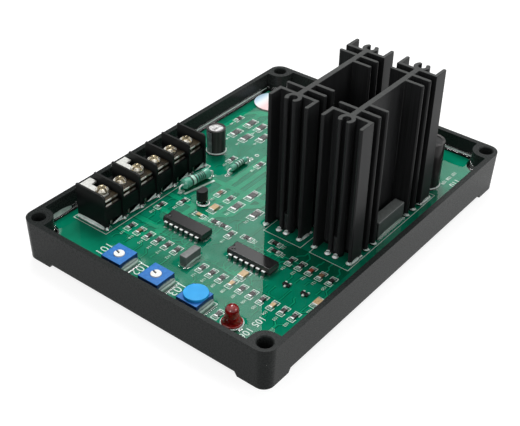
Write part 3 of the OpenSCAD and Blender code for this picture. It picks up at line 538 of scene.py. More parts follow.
# Tall beads of resin with painted reflections: a white line above the toe, with a grey band and a paler one
# over it
PAINTED_REFLECTION_BANDS = graded(
    "resin_painted_reflection_bands", {"Coat Weight": 1.0, "Roughness": 0.12}, "Z", RESIN_TOP, RESIN_TOP + 3,
    (
        (0.1, (0.1, 0.24, 0.18)), (0.2, (0.85, 0.9, 0.88)), (0.34, (0.8, 0.85, 0.83)),
        (0.44, (0.2, 0.25, 0.25)), (0.7, (0.5, 0.55, 0.56)), (1.0, (0.05, 0.08, 0.12)),
    ),
    grain=1.5, share=0.1,
)
MOULDED = surface(
    "moulded_black", (0.004, 0.004, 0.0045), (0.01, 0.01, 0.011), 0.5, (0.3, 0.42), sockets=DULL
)
CHIP_DARK = surface("chip_dark", (0.012, 0.01, 0.01), (0.035, 0.03, 0.028), 0.6, (0.22, 0.32))
CHIP_GREY = surface("chip_grey", (0.035, 0.038, 0.036), (0.075, 0.08, 0.076), 0.8)


# Pieces that keep the shape of their CAD node, with rounded edges

# Nodes, width of the rounding, material, slot and steps of the rounding
ROUNDED = (
    (["housing_tray"], 0.4, TRAY, "tray_plastic", 3),
    (HEATSINKS, 0.12, ANODISED, "black_anodised", 1),
    (["terminal_block"], 0.16, BLOCK_PAINTED_SHEEN, "block_plastic", 2),
    (TRIMMERS, 0.25, BLUE_PAINTED_SHADE, "trimmer_blue", 2),
    (["trimmer_3_seal"], 0.2, SEAL, "seal_blue", 2),
    (CHIP_BODIES, 0.45, EPOXY_PAINTED_SHEEN, "epoxy_black", 3),
    (["small_box_capacitor"], 0.3, BOX_GREY_PAINTED_TOP_LIGHT, "box_grey", 2),
    (["large_box_capacitor"], 0.35, BOX_GREY_PAINTED_TOP_LIGHT, "box_grey", 2),
    (["power_device_1_body", "power_device_2_body"], 0.2, EPOXY_PAINTED_SHEEN, "epoxy_black", 2),
    (["tab_lug_1", "tab_lug_3"], 0.12, LUG, "tinned", 2),
    (["clamp_washers"], 0.12, STAMPED_PAINTED_LIGHT, "contact_brass", 1),
    (["terminal_screws"], 0.1, NICKEL_PAINTED_LIGHT, "contact_brass", 2),
    (["transistor_body"], 0.3, MOULDED, "epoxy_black", 2),
)
ROTOR_ROUNDING = 0.12
for nodes, width, mat, slot, segments in ROUNDED:
    for node in nodes:
        softened(node, width, mat, segments)
for i in (1, 2):
    softened(f"trimmer_{i}_rotor", ROTOR_ROUNDING, WHITE, 2, f"rotor_{i}")

# CAD nodes that stay as they are and aren't tinned
PLAIN = {
    "circuit_board": MASK,
    "heatsink_screws": DARK_STEEL,
    "device_screws": STEEL,
    "trimmer_3_rotor": WHITE,
    "lamp_lens": LAMP,
    "small_capacitor_can": ALUMINIUM,
    "tall_capacitor_can": MOULDED,
    **dict.fromkeys(CHIP_LEGS, LEG_PAINTED_SHADE),
    **dict.fromkeys(SLEEVES, SLEEVE),
    **dict.fromkeys(CONTACTS, STAMPED_PAINTED_LIGHT),
}
for node, obj in frame["nodes"].items():
    for material_slot in obj.material_slots:
        material_slot.material = PLAIN.get(node, TINNED)


# Potting resin: a sheet that climbs what stands in it

GRID = 0.5
INTO_WALL = 0.9
HOLE_MARGIN = 1.2
WATER_Z = RESIN_TOP + 0.01
SHORTEST = 1e-9
# Rise of the resin at the sides of some nodes, and the distance over which it falls off
CLIMB = (
    (["housing_tray"], 1.9, 0.75),
    (["terminal_block"], 1.2, 0.6),
    (TRIMMERS, 1.6, 0.7),
    (HEATSINKS, 0.8, 0.5),
    (["lamp_lens"], 0.8, 0.8),
    (SLEEVES, 0.9, 0.6),
    (BOX_CAPACITORS, 1.0, 0.6),
    (CHIP_BODIES, 0.5, 0.5),
    (["transistor_leads"], 0.5, 0.45),
    (RESISTOR_LEADS, 0.4, 0.4),
)
# Times that distance at which the rise is taken as gone
FADED = 5


def nearest(xs, ys, lines):
    """Distance of each plan point from the nearest of some straight lines."""
    squares = np.full(xs.shape, np.inf)
    for a, b in lines:
        (x, y), (dx, dy) = a, b - a
        length = max(dx * dx + dy * dy, SHORTEST)
        along = np.clip(((xs - x) * dx + (ys - y) * dy) / length, 0, 1)
        np.minimum(squares, (xs - x - along * dx) ** 2 + (ys - y - along * dy) ** 2, out=squares)
    return np.sqrt(squares)


def resin_heights(xs, ys):
    """Height of the resin's surface over plan points."""
    rise = np.zeros(xs.shape)
    for nodes, height, reach in CLIMB:
        margin = FADED * reach
        for node in nodes:
            low, high = span(node)
            near = (xs > low[0] - margin) & (xs < high[0] + margin)
            near &= (ys > low[1] - margin) & (ys < high[1] + margin)
            distance = nearest(xs[near], ys[near], waterline(node, WATER_Z))
            rise[near] = np.maximum(rise[near], height * np.exp(-distance / reach))
    return RESIN_TOP + rise


def resin_sheet():
    low, high = RESIN_LOW - INTO_WALL, RESIN_HIGH + INTO_WALL
    axes = [np.linspace(low[k], high[k], int((high[k] - low[k]) / GRID)) for k in (0, 1)]
    xs, ys = np.meshgrid(*axes, indexing="ij")
    zs = resin_heights(xs, ys)
    holes = next(m for m in frame["record"]["mounts"] if m["kind"] == "bolt_pattern")["dims"]
    from_hole = np.hypot(
        np.abs(xs) - holes["spacing_x_mm"] / 2, np.abs(ys) - holes["spacing_y_mm"] / 2
    ) - holes["hole_r_mm"]
    keep = from_hole > HOLE_MARGIN
    bm = bmesh.new()
    verts = [
        [bm.verts.new((x * MM, y * MM, z * MM)) for x, y, z in zip(*line)] for line in zip(xs, ys, zs)
    ]
    for i, j in np.ndindex(len(verts) - 1, len(verts[0]) - 1):
        if keep[i:i + 2, j:j + 2].all():
            bm.faces.new((verts[i][j], verts[i + 1][j], verts[i + 1][j + 1], verts[i][j + 1]))
    loose = [v for v in bm.verts if not v.link_faces]
    bmesh.ops.delete(bm, geom=loose, context="VERTS")
    piece("resin_surface", bm, [RESIN], replaces=["potting_resin"], smooth=math.pi)


resin_sheet()


# Beads of resin at the feet of the larger parts, painted white and banded as painted glints and reflections

BEAD_PARTS = 6
BEAD_STEPS = 10
BEAD_SINK = 0.08
FRONT, LEFT, RIGHT = (0, -1), (-1, 0), (1, 0)
# Height and run of each straight bead, and the share of them that is left where it is thin
TRIMMER_FRONT = (2.9, 0.7, 0.5)
TRIMMER_SIDE = (1.8, 0.5, 0.3)
STRIP_END = (1.35, 0.7, 0.7)
WELL_FOOT = (1.6, 0.6, 0.05)
BARRIER_FOOT = (0.9, 0.8, 0.6)
BOX_FOOT = (0.9, 0.63, 0.3)
FAR_WALL_LEFT = (1.8, 0.7, 0.3)
FAR_WALL_RIGHT = (0.4, 0.3, 0.6)
RIGHT_WALL = (0.6, 0.35, 0.6)
LIP_FOOT = (0.9, 0.6, 0.3)
# Height and run of each bead round an upright part
ROUND_FEET = {
    "transistor_body": (0.5, 0.35),
    "small_capacitor_sleeve": (0.5, 0.45),
    "tall_capacitor_sleeve": (0.4, 0.4),
}
LAMP_FOOT = (0.35, 0.4)
POST_FOOT = (0.9, 0.5)
FIN_FOOT = (0.8, 0.5)
POST_SIDES = 16
# Where the beads start and end
TRIMMER_INSET = 0.2
TRIMMER_SIDE_RUN = 4
STRIP_INSET = 0.8
STRIP_LAP = 2
WELL_INSET = 0.6
WELL_LEFT = 1.2
WELL_RIGHT = 0.6
BARRIER_HALF = 0.5
COLUMN = 9.0
LIP_START, LIP_RUN = 0.5, 5
# Round ends of the heatsinks' lips, screw ports and fins
POST_INSET = 0.4
POST_R = 0.75
PORT_SHIFT = 1.7
FINS = 3
FIN_START = 6.6
FIN_PITCH = 4.9
FIN_R = 0.7
# Reach of the lamp's flange, and the flare as heights over the resin and reaches past the lens
SKIRT = 0.85
LAMP_FLARE = (
    (-0.1, SKIRT), (0.45, SKIRT), (0.65, 0.75), (0.75, 0.4),
    (1.1, 0.2), (1.7, 0.05), (2.4, -0.1), (3.2, -0.3),
)


def bead_section(bm, foot, out, height, run):
    """Corners of a bead's hollow section at a plan point, from its toe up and then under it."""
    steps = [k / BEAD_PARTS for k in range(BEAD_PARTS + 1)]
    outline = [(run * (1 - t) ** 2, height * t ** 2) for t in steps] + [(-BEAD_SINK, -BEAD_SINK)]
    return [bm.verts.new(Vector((*(foot + out * away), RESIN_TOP + up)) * MM) for away, up in outline]


def add_bead(bm, start, end, out, height, run, thin, wedge=False):
    """A bead along the foot of a wall, thinner toward its ends, or toward its start as a wedge."""
    rings = []
    for i in range(BEAD_STEPS + 1):
        t = i / BEAD_STEPS
        swell = thin + (1 - thin) * (t if wedge else math.sqrt(math.sin(math.pi * t)))
        foot = Vector(start).lerp(Vector(end), t)
        rings.append(bead_section(bm, foot, Vector(out), height * swell, run * swell))
    add_loft(bm, rings)


def add_bead_ring(bm, x, y, radius, height, run, sides=32):
    """A bead round the foot of a round part."""
    rings = []
    for a in circle(sides):
        out = Vector((math.cos(a), math.sin(a)))
        rings.append(bead_section(bm, Vector((x, y)) + out * radius, out, height, run))
    add_skin(bm, rings + rings[:1])


def trimmer_beads(bm):
    for node in TRIMMERS:
        low, high = span(node)
        corner = (high[0], low[1])
        add_bead(bm, (low[0] + TRIMMER_INSET, low[1]), corner, FRONT, *TRIMMER_FRONT)
        add_bead(bm, (high[0], low[1] + TRIMMER_SIDE_RUN), corner, RIGHT, *TRIMMER_SIDE, wedge=True)


def strip_beads(bm):
    low, high = span("terminal_block")
    add_bead(bm, (low[0], low[1] + STRIP_INSET), (low[0], high[1]), LEFT, *STRIP_END)
    face = low[1] + WELL_INSET
    for x in CONTACT_X:
        end = (x + PITCH / 2 - WELL_RIGHT, face)
        add_bead(bm, (x - WELL_LEFT, face), end, FRONT, *WELL_FOOT, wedge=True)
    for k in range(len(CONTACTS) + 1):
        x = CONTACT_X[0] + (k - 0.5) * PITCH
        add_bead(bm, (x - BARRIER_HALF, low[1]), (x + BARRIER_HALF, low[1]), FRONT, *BARRIER_FOOT)


def wall_beads(bm):
    strip_low, strip_high = span("terminal_block")
    far_x, far_y, _ = RESIN_HIGH
    left = (RESIN_LOW[0] + COLUMN, far_y)
    add_bead(bm, left, (strip_low[0] + STRIP_LAP, far_y), FRONT, *FAR_WALL_LEFT)
    add_bead(bm, (strip_high[0], far_y), (far_x - COLUMN, far_y), FRONT, *FAR_WALL_RIGHT)
    add_bead(bm, (far_x, far_y - COLUMN), (far_x, RESIN_LOW[1] + COLUMN), LEFT, *RIGHT_WALL)


def heatsink_beads(bm):
    for node in HEATSINKS:
        low, high = span(node)
        y = middle((low, high))[1]
        for x in (low[0] + POST_INSET, high[0] - POST_INSET):
            for side in (low[1] + POST_R, high[1] - POST_R, y - PORT_SHIFT, y + PORT_SHIFT):
                add_bead_ring(bm, x, side, POST_R, *POST_FOOT, POST_SIDES)
        for k in range(FINS):
            reach = FIN_START + FIN_PITCH * k
            for x in (low[0] + reach, high[0] - reach):
                add_bead_ring(bm, x, low[1] + FIN_R, FIN_R, *FIN_FOOT, POST_SIDES)
        for x in (low[0] + LIP_START, high[0] - LIP_START - LIP_RUN):
            add_bead(bm, (x, low[1]), (x + LIP_RUN, low[1]), FRONT, *LIP_FOOT)


def painted_glint_beads():
    bright, tall = bmesh.new(), bmesh.new()
    trimmer_beads(tall)
    for node in BOX_CAPACITORS:
        low, high = span(node)
        add_bead(tall, (low[0], low[1]), (high[0], low[1]), FRONT, *BOX_FOOT)
    strip_beads(bright)
    for node, foot in ROUND_FEET.items():
        add_bead_ring(bright, *round_part(node), *foot)
    x, y, radius = round_part("lamp_lens")
    add_bead_ring(bright, x, y, radius + SKIRT, *LAMP_FOOT)
    wall_beads(bright)
    heatsink_beads(bright)
    for bm, mat, name in ((bright, PAINTED_GLINT, "painted_glint_beads"), (tall, PAINTED_REFLECTION_BANDS, "tall_beads")):
        bmesh.ops.recalc_face_normals(bm, faces=bm.faces)
        piece(name, bm, [mat], smooth=SHARP)


def lamp_skirt():
    """Red flare where the resin climbs the lamp."""
    x, y, radius = round_part("lamp_lens")
    bm = bmesh.new()
    upright = Matrix.Translation(Vector((x, y, RESIN_TOP)) * MM) @ Matrix.Rotation(-math.pi / 2, 4, "Y")
    add_lathe(bm, [(height, radius + reach) for height, reach in LAMP_FLARE], upright)
    piece("lamp_skirt", bm, [LAMP], smooth=SHARP)


painted_glint_beads()
lamp_skirt()


# Board: copper tracks under the mask, and bare pads

PLATE = 0.012
# Lift of each track over the one before, so that no two tops lie in one plane
LEVEL_STEP = 0.0004
GAP_Z = BOARD_TOP + 0.02
TRACK_Z = BOARD_TOP + 0.09
PRINT_Z = BOARD_TOP + 0.16
PAD_Z = BOARD_TOP + 0.18
TRACK_W = 0.5
WIDE_TRACK_W = 2.6
TRACK_GAP = 0.3
# Radius of the round end of a track as a share of its width
TRACK_END = 0.8
EDGE_MARGIN = 2.5
# Spans of the random lengths of a track's first run, slant and last run
LEG_RUN, LEG_SLANT, LEG_TAIL = (1.2, 4.5), (0.8, 3), (2, 12)
CHIP_RUN, CHIP_SLANT, CHIP_TAIL = (1, 5), (-2.4, 2.4), (0.5, 7)
LEG_TRACK_START = 1.2
# Broad tracks from the terminals: places of their lanes, and spans of their turns and ends
LANE_FIRST, LANE_LAST = 20, -4
LANE_TURN, LANE_END = (4, 8), (25, 60)
# Broad tracks along the far side: corners of the first, from the strip's far edge, and steps to the next
SIDE_TRACKS = 4
SIDE_ROUTE = ((20, 0), (44, 0), (52, -8), (52, -79.85))
SIDE_STEPS = ((5, -6), (3, -6), (3, -6), (3, 8))
# A patch of board in the darker colour of the gaps, in front of the heatsinks
DARK_PATCH = ((-31.5, -27.5), (-31.5, -49.5), (-19.0, -49.5), (-19.0, -24.5), (-24.5, -20.5))
RING_PADS = ((0.5, 24.2), (16.5, 24.3), (20.2, 24.1))
RING_PAD_R, RING_HOLE_R, RING_HOLE_LIFT = 1.0, 0.45, 0.02
PAD_HALF, PAD_LAP = 0.4, 0.05
LEG_PAD_R, LEG_PAD_OUT = 0.6, 0.6
LEAD_PAD_R, LEAD_PAD_IN = 0.9, 0.4
SEED = 11
rng = random.Random(SEED)


def on_board(point):
    """A plan point held inside the board's edge margin."""
    return tuple(np.clip(point, BOARD_LOW[:2] + EDGE_MARGIN, BOARD_HIGH[:2] - EDGE_MARGIN))


def small_boxes():
    """Boxes of all the small two-ended parts."""
    return [box for node in SMALL_PARTS for box in islands(node)]


def leg_places():
    """Plan place of each chip leg, and 1 or -1 for its side of the chip."""
    places = []
    for body, legs in zip(CHIP_BODIES, CHIP_LEGS):
        centre = middle(span(body))
        for box in islands(legs):
            x, y, _ = middle(box)
            places.append((x, y, 1 if x > centre[0] else -1))
    return places


def bent_route(x, y, side, run, slant, tail):
    """A track that leaves a place sideways, slants and ends with a straight run."""
    corner = (x + side * (run + abs(slant)), y + slant)
    end = (corner[0] + tail[0], corner[1] + tail[1])
    return [on_board(p) for p in ((x, y), (x + side * run, y), corner, end)]


def leg_routes():
    """Tracks that leave the chips' legs and run on along Y."""
    routes = []
    for x, y, side in leg_places():
        run = rng.uniform(*LEG_RUN)
        slant = rng.choice((-1, 1)) * rng.uniform(*LEG_SLANT)
        tail = math.copysign(rng.uniform(*LEG_TAIL), slant)
        routes.append(bent_route(x + side * LEG_TRACK_START, y, side, run, slant, (0, tail)))
    return routes


def chip_routes():
    """Tracks that leave the ends of the small parts and run on along X."""
    routes = []
    for box in small_boxes():
        x, y, _ = middle(box)
        half = (box[1][0] - box[0][0]) / 2
        for side in (-1, 1):
            run, slant, tail = (rng.uniform(*ends) for ends in (CHIP_RUN, CHIP_SLANT, CHIP_TAIL))
            routes.append(bent_route(x + side * half, y, side, run, slant, (side * tail, 0)))
    return routes


def wide_routes():
    """Broad tracks from the terminal strip toward the heatsinks and along the far side."""
    routes = []
    strip_low, strip_high = span("terminal_block")
    for x, lane in zip(CONTACT_X, np.linspace(LANE_FIRST, LANE_LAST, len(CONTACTS))):
        turn = rng.uniform(*LANE_TURN)
        end_x = rng.uniform(*LANE_END)
        routes.append([(x, strip_low[1]), (x, lane + turn), (x + turn, lane), (end_x, lane)])
    for k in range(SIDE_TRACKS):
        corners = np.array(SIDE_ROUTE) + k * np.array(SIDE_STEPS)
        routes.append([(x, strip_high[1] + y) for x, y in corners])
    return routes


def spaced(route, gap):
    """A route without the points that lie too near the one before."""
    kept = [route[0]]
    for p in route[1:]:
        if math.dist(p, kept[-1]) > gap:
            kept.append(p)
    return kept


def tracks():
    gaps, copper = bmesh.new(), bmesh.new()
    step = 0
    for routes, width in ((wide_routes(), WIDE_TRACK_W), (leg_routes() + chip_routes(), TRACK_W)):
        for route in routes:
            step += LEVEL_STEP
            points = spaced(route, width / 2)
            if len(points) < 2:
                continue
            add_ribbon(gaps, points, width + 2 * TRACK_GAP, GAP_Z + step, PLATE)
            add_ribbon(copper, points, width, TRACK_Z + step, PLATE)
            add_disc(copper, *points[-1], width * TRACK_END, TRACK_Z + step / 2, PLATE)
    for x, y in RING_PADS:
        add_disc(gaps, x, y, RING_HOLE_R, PAD_Z + RING_HOLE_LIFT, PLATE)
    add_prism(gaps, DARK_PATCH, GAP_Z - PLATE / 3, PLATE)
    piece("track_gaps", gaps, [GAPS])
    piece("copper_tracks", copper, [TRACK])


def bare_pads():
    bm = bmesh.new()
    for box in small_boxes():
        along = long_axis(box)
        size = box[1] - box[0]
        half = size[:2] / 2
        half[along] = PAD_HALF
        for side in (-1, 1):
            centre = middle(box)[:2]
            centre[along] += side * (size[along] / 2 - PAD_LAP)
            low, high = centre - half, centre + half
            add_prism(bm, [low, (high[0], low[1]), high, (low[0], high[1])], PAD_Z, PLATE)
    for x, y, side in leg_places():
        add_disc(bm, x + side * LEG_PAD_OUT, y, LEG_PAD_R, PAD_Z, PLATE)
    for node in (*RESISTOR_LEADS, "transistor_leads"):
        for box in islands(node):
            for x in (box[0][0] + LEAD_PAD_IN, box[1][0] - LEAD_PAD_IN):
                add_disc(bm, x, middle(box)[1], LEAD_PAD_R, PAD_Z, PLATE)
    for x, y in RING_PADS:
        add_disc(bm, x, y, RING_PAD_R, PAD_Z, PLATE)
    piece("bare_pads", bm, [TINNED])


# White print on the board, with plain numbers, and a painted highlight in front of the large resistor

PRINT_W = 0.3
FIRST_NUMBER = 101
# The numbers read from the far side of the board
PRINT_TURN = math.pi
# Size of the font whose figures are one unit high
FONT_SIZE = 1.4
PLACE_NUMBERS = (
    ("104", -66.7, -27.7, 2.0), ("105", -61.0, -40.4, 2.8), ("106", -68.2, -40.6, 2.8),
    ("107 108 109", 57.1, -46.5, 1.6), ("110", 55.5, -50.2, 2.8),
)
# Room between a part and the frame printed round it
HEATSINK_ROOM, STRIP_ROOM, TRIMMER_ROOM = 2.8, 1.3, 0.9
HEATSINK_SHIFTS = (-2.2, -0.9)
LARGE_NUMBER_H, LARGE_NUMBER_IN, LARGE_NUMBER_OUT = 3.7, 2.0, 6.0
BRACKET_END, BRACKET_SIDE, BRACKET_ARM = 1.05, 0.45, 0.2
SMALL_NUMBER_H = 1.2
# Gap between a small part's end and the middle of its number, along X and along Y
SMALL_NUMBER_GAP = (3.1, 2.0)
# Room that a small number takes on each side of its middle
SMALL_NUMBER_ROOM = (2.2, 0.9)
# White bar in front of the large resistor, as a painted highlight on the resin
RESISTOR_PAINTED_HIGHLIGHT = ((-20.5, 28.8), (-5.5, 25.8))
RESISTOR_PAINTED_HIGHLIGHT_W = 1.1


def add_line(bm, points, width=PRINT_W):
    add_ribbon(bm, points, width, PRINT_Z, PLATE)


def add_frame(bm, low, high):
    """A printed rectangle between two plan corners."""
    (x0, y0), (x1, y1) = low, high
    h = PRINT_W / 2
    for y in (y0, y1):
        add_line(bm, [(x0 - h, y), (x1 + h, y)])
    for x in (x0, x1):
        add_line(bm, [(x, y0 + h), (x, y1 - h)])


def add_brackets(bm, box):
    """Two printed brackets round the ends of a small part."""
    along = long_axis(box)
    x, y, _ = middle(box)
    half = (box[1] - box[0]) / 2
    reach = half[along] + BRACKET_END
    aside = half[1 - along] + BRACKET_SIDE
    inner = BRACKET_END - BRACKET_ARM
    for s in (-1, 1):
        corners = ((s * inner, aside), (s * reach, aside), (s * reach, -aside), (s * inner, -aside))
        add_line(bm, [(x + v, y + u) if along else (x + u, y + v) for u, v in corners])


def add_number(bm, text, x, y, height):
    """A printed number with its middle at a plan point."""
    curve = bpy.data.curves.new("number", "FONT")
    curve.body = text
    curve.size = height * FONT_SIZE * MM
    curve.align_x = curve.align_y = "CENTER"
    curve.extrude = PLATE / 2 * MM
    holder = bpy.data.objects.new("number", curve)
    mesh = bpy.data.meshes.new_from_object(holder)
    place = Matrix.Translation((x * MM, y * MM, PRINT_Z * MM))
    mesh.transform(place @ Matrix.Rotation(PRINT_TURN, 4, "Z"))
    bm.from_mesh(mesh)
    bpy.data.objects.remove(holder)
    bpy.data.curves.remove(curve)
    bpy.data.meshes.remove(mesh)


def small_numbers(bm):
    """Brackets and numbers of the small parts, where a number has room."""
    taken = small_boxes()
    x_room, y_room = SMALL_NUMBER_ROOM
    for node in SMALL_PARTS:
        for k, box in enumerate(islands(node)):
            add_brackets(bm, box)
            along = long_axis(box)
            place = middle(box)
            place[along] -= (box[1] - box[0])[along] / 2 + SMALL_NUMBER_GAP[along]
            x, y, _ = place
            if not any(
                low[0] - x_room < x < high[0] + x_room and low[1] - y_room < y < high[1] + y_room
                for low, high in taken
            ):
                add_number(bm, str(FIRST_NUMBER + k), x, y, SMALL_NUMBER_H)


def white_print_and_painted_highlight():
    bm = bmesh.new()
    for node, shift in zip(HEATSINKS, HEATSINK_SHIFTS):
        low, high = span(node)
        room = np.array((HEATSINK_ROOM, 0))
        add_frame(bm, low[:2] - room + (0, shift), high[:2] + room + (0, shift))
    low, high = span("terminal_block")
    add_frame(bm, low[:2] - STRIP_ROOM, high[:2] + STRIP_ROOM)
    for k, node in enumerate(TRIMMERS):
        low, high = span(node)
        add_frame(bm, low[:2] - TRIMMER_ROOM, high[:2] + TRIMMER_ROOM)
        x, y = high[0] - LARGE_NUMBER_IN, high[1] + LARGE_NUMBER_OUT
        add_number(bm, str(FIRST_NUMBER + k), x, y, LARGE_NUMBER_H)
    small_numbers(bm)
    for number in PLACE_NUMBERS:
        add_number(bm, *number)
    # Painted highlight in front of the large resistor, drawn in the print's white
    add_line(bm, RESISTOR_PAINTED_HIGHLIGHT, RESISTOR_PAINTED_HIGHLIGHT_W)
    piece("white_print_and_painted_highlight", bm, [PRINT])


tracks()
bare_pads()
white_print_and_painted_highlight()


# Small surface-mounted parts

# Places of the chip resistors with other colours than the rest
TAN_AT = ((-27.5, 14.9), (-51.5, -20.8), (-51.5, -39.2))
RUST_AT = ((-27.9, -38.4),)
BROWN_AT = ((-27.9, -42.9), (-49.6, 25.55), (-11.2, 18.2))
PLACE_REACH = 1.5
LARGE_CHIP = 4.0
# Length of an end cap as a share of its part, and the share of the cap that shows past the body
CAP_SHARE = 0.18
TAN_CAP_SHARE = 0.1
CAP_SHOWN = 0.8
CAP_PROUD = 0.03
CHIP_BEVEL, CAP_BEVEL = 0.03, 0.09
SOLDER_RUN, SOLDER_LAP, SOLDER_DROP = 0.3, 0.1, 0.2
# Legs of the three-legged parts: side and shift of each, then their sizes
TRIPOD = ((-1, 0), (1, -0.95), (1, 0.95))
LEG_LENGTH, LEG_HALF, LEG_FOOT, LEG_TOP = 0.9, 0.42, 0.03, 0.75
LEG_BEVEL = 0.12


def colour_of(box):
    """Place of a chip resistor's material in the list that its bodies share."""
    place = middle(box)[:2]
    for index, spots in ((1, TAN_AT), (2, RUST_AT), (3, BROWN_AT)):
        if any(math.dist(place, spot) < PLACE_REACH for spot in spots):
            return index
    return 4 if max(box[1] - box[0]) > LARGE_CHIP else 0


def add_solder(bm, low, high, along, side):
    """A sloped fillet of solder from a chip's end down to its pad."""
    start = high[along] if side > 0 else low[along]
    top = high[2] - SOLDER_DROP
    rings = []
    for edge in (low[1 - along], high[1 - along]):
        ring = []
        for reach, z in ((-SOLDER_LAP, top), (SOLDER_RUN, BOARD_TOP), (-SOLDER_LAP, BOARD_TOP)):
            point = Vector((edge, edge, z))
            point[along] = start + side * reach
            ring.append(bm.verts.new(point * MM))
        rings.append(ring)
    add_loft(bm, rings)


def add_chip(bodies, ends, box, index, share=CAP_SHARE):
    """A small ceramic part: a body between two metal end caps, each a share of its length."""
    low, high = box
    along = long_axis(box)
    cap = (high - low)[along] * share
    inset = np.full(3, CAP_PROUD)
    inset[along] = cap * CAP_SHOWN
    inner_low, inner_high = low + inset, high - inset
    inner_low[2] = low[2]
    add_box(bodies, inner_low, inner_high, CHIP_BEVEL, index)
    for end in (0, 1):
        cap_low, cap_high = low.copy(), high.copy()
        if end:
            cap_low[along] = high[along] - cap
        else:
            cap_high[along] = low[along] + cap
        # The cap at the high end takes the tin with painted shade
        add_box(ends, cap_low, cap_high, CAP_BEVEL, end)
        add_solder(ends, cap_low, cap_high, along, 1 if end else -1)


def small_parts():
    bodies, ends = bmesh.new(), bmesh.new()
    for box in islands("chip_resistors"):
        add_chip(bodies, ends, box, colour_of(box))
    piece(
        "chip_resistor_bodies", bodies, [CHIP_DARK, TAN, RUST, BROWN, CHIP_GREY],
        replaces=["chip_resistors"],
    )
    bodies = bmesh.new()
    for box in islands("chip_capacitors"):
        add_chip(bodies, ends, box, 0, TAN_CAP_SHARE)
    piece("chip_capacitor_bodies", bodies, [TAN], replaces=["chip_capacitors"])
    bmesh.ops.recalc_face_normals(ends, faces=ends.faces)
    piece("chip_ends", ends, [TINNED, TIN_PAINTED_SHADE])


def chip_transistors():
    """Three-legged parts: a moulded body with one leg on one side and two on the other."""
    bodies, legs = bmesh.new(), bmesh.new()
    for low, high in islands("chip_transistors"):
        centre = middle((low, high))
        add_box(bodies, low, high, LEG_BEVEL)
        for side, shift in TRIPOD:
            inner = centre[0] + side * (high[0] - low[0]) / 2
            outer = inner + side * LEG_LENGTH
            y = centre[1] + shift
            add_box(
                legs, (min(inner, outer), y - LEG_HALF, BOARD_TOP + LEG_FOOT),
                (max(inner, outer), y + LEG_HALF, BOARD_TOP + LEG_TOP), LEG_BEVEL,
            )
    piece("chip_transistor_bodies", bodies, [EPOXY_PAINTED_SHEEN], replaces=["chip_transistors"])
    piece("chip_transistor_legs", legs, [TINNED])


small_parts()
chip_transistors()


# Banded resistors

# Start and end of each ring as shares of the body's length, and its material: 1 pale, 2 dark
LARGE_BANDS = (
    (-0.26, -0.205, 2), (-0.2, -0.105, 1), (-0.1, -0.055, 2), (0.0, 0.045, 2), (0.08, 0.125, 2),
    (0.155, 0.195, 2), (0.22, 0.26, 2),
)
SMALL_BANDS = (
    (-0.24, -0.165, 2), (-0.16, -0.085, 1), (-0.08, -0.005, 2), (0.0, 0.065, 1), (0.07, 0.135, 2),
    (0.14, 0.185, 1), (0.19, 0.25, 2),
)
LARGE_RESISTOR_TURN = math.radians(-8)
# Share of the length in each thick end, and shares of the radius in its rounding and in the waist
END_SHARE, SOFT_SHARE, WAIST_SHARE = 0.22, 0.25, 0.92


def banded_resistor(node, turn, bands):
    """A lacquered body with thicker round ends and coloured rings."""
    points = np.array([v.co for v in frame["nodes"][node].data.vertices]) / MM
    centre = (points.min(0) + points.max(0)) / 2
    axis = np.array([math.cos(turn), math.sin(turn), 0])
    length = np.ptp(points @ axis)
    half = length / 2
    radius = np.ptp(points[:, 2]) / 2
    waist = radius * WAIST_SHARE
    soft = radius * SOFT_SHARE
    neck = half - END_SHARE * length
    end = [(neck, waist), (neck + soft, radius), (half - soft, radius), (half, radius - soft)]
    stations = [(-x, r) for x, r in end[::-1]]
    marks = [0, 0, 0]
    for start, stop, colour in bands:
        stations += [(start * length, waist), (stop * length, waist)]
        marks += [0, colour]
    bm = bmesh.new()
    matrix = Matrix.Translation(Vector(centre) * MM) @ Matrix.Rotation(turn, 4, "Z")
    add_lathe(bm, stations + end, matrix, marks)
    mats = [GREEN, BAND_PALE, BAND_DARK]
    piece(node + "_banded", bm, mats, replaces=[node], smooth=SHARP)


banded_resistor("large_resistor_body", LARGE_RESISTOR_TURN, LARGE_BANDS)
banded_resistor("small_resistor_body", 0, SMALL_BANDS)


# Marks on the capacitors and sticker, and painted shade in the trimmers' pointer slots

VENT_W, VENT_PROUD, VENT_DEEP = 0.35, 0.03, 0.06
SMALL_VENT, TALL_VENT = 2.2, 2.8
STRIPE_STEPS = 10
# Angle that a stripe takes up, and its middle on each sleeve
STRIPE_ARC = 1.1
SMALL_STRIPE_TURN, TALL_STRIPE_TURN = math.radians(160), math.radians(60)
STRIPE_PROUD, STRIPE_SINK, STRIPE_END = 0.03, 0.05, 0.6
POINTER_TURN = math.radians(-17)
POINTER_HALF, POINTER_START, POINTER_END, POINTER_BEVEL = 0.32, 0.05, 0.1, 0.05
# Depths of the painted shade in the pointer slot under the rotor's top
POINTER_FLOOR, POINTER_TOP = 0.5, 0.12
STICKER_SIDES = 64
STICKER_FADE = 7


def can_vent(node, reach, mat):
    """Pressed cross on the top of a capacitor's can."""
    high = span(node)[1]
    centre = Vector(round_part(node)[:2])
    bm = bmesh.new()
    for turn in (0, math.pi / 2):
        step = Vector((math.cos(turn), math.sin(turn))) * reach
        add_ribbon(bm, [centre - step, centre + step], VENT_W, high[2] + VENT_PROUD, VENT_DEEP)
    piece(node + "_vent", bm, [mat])


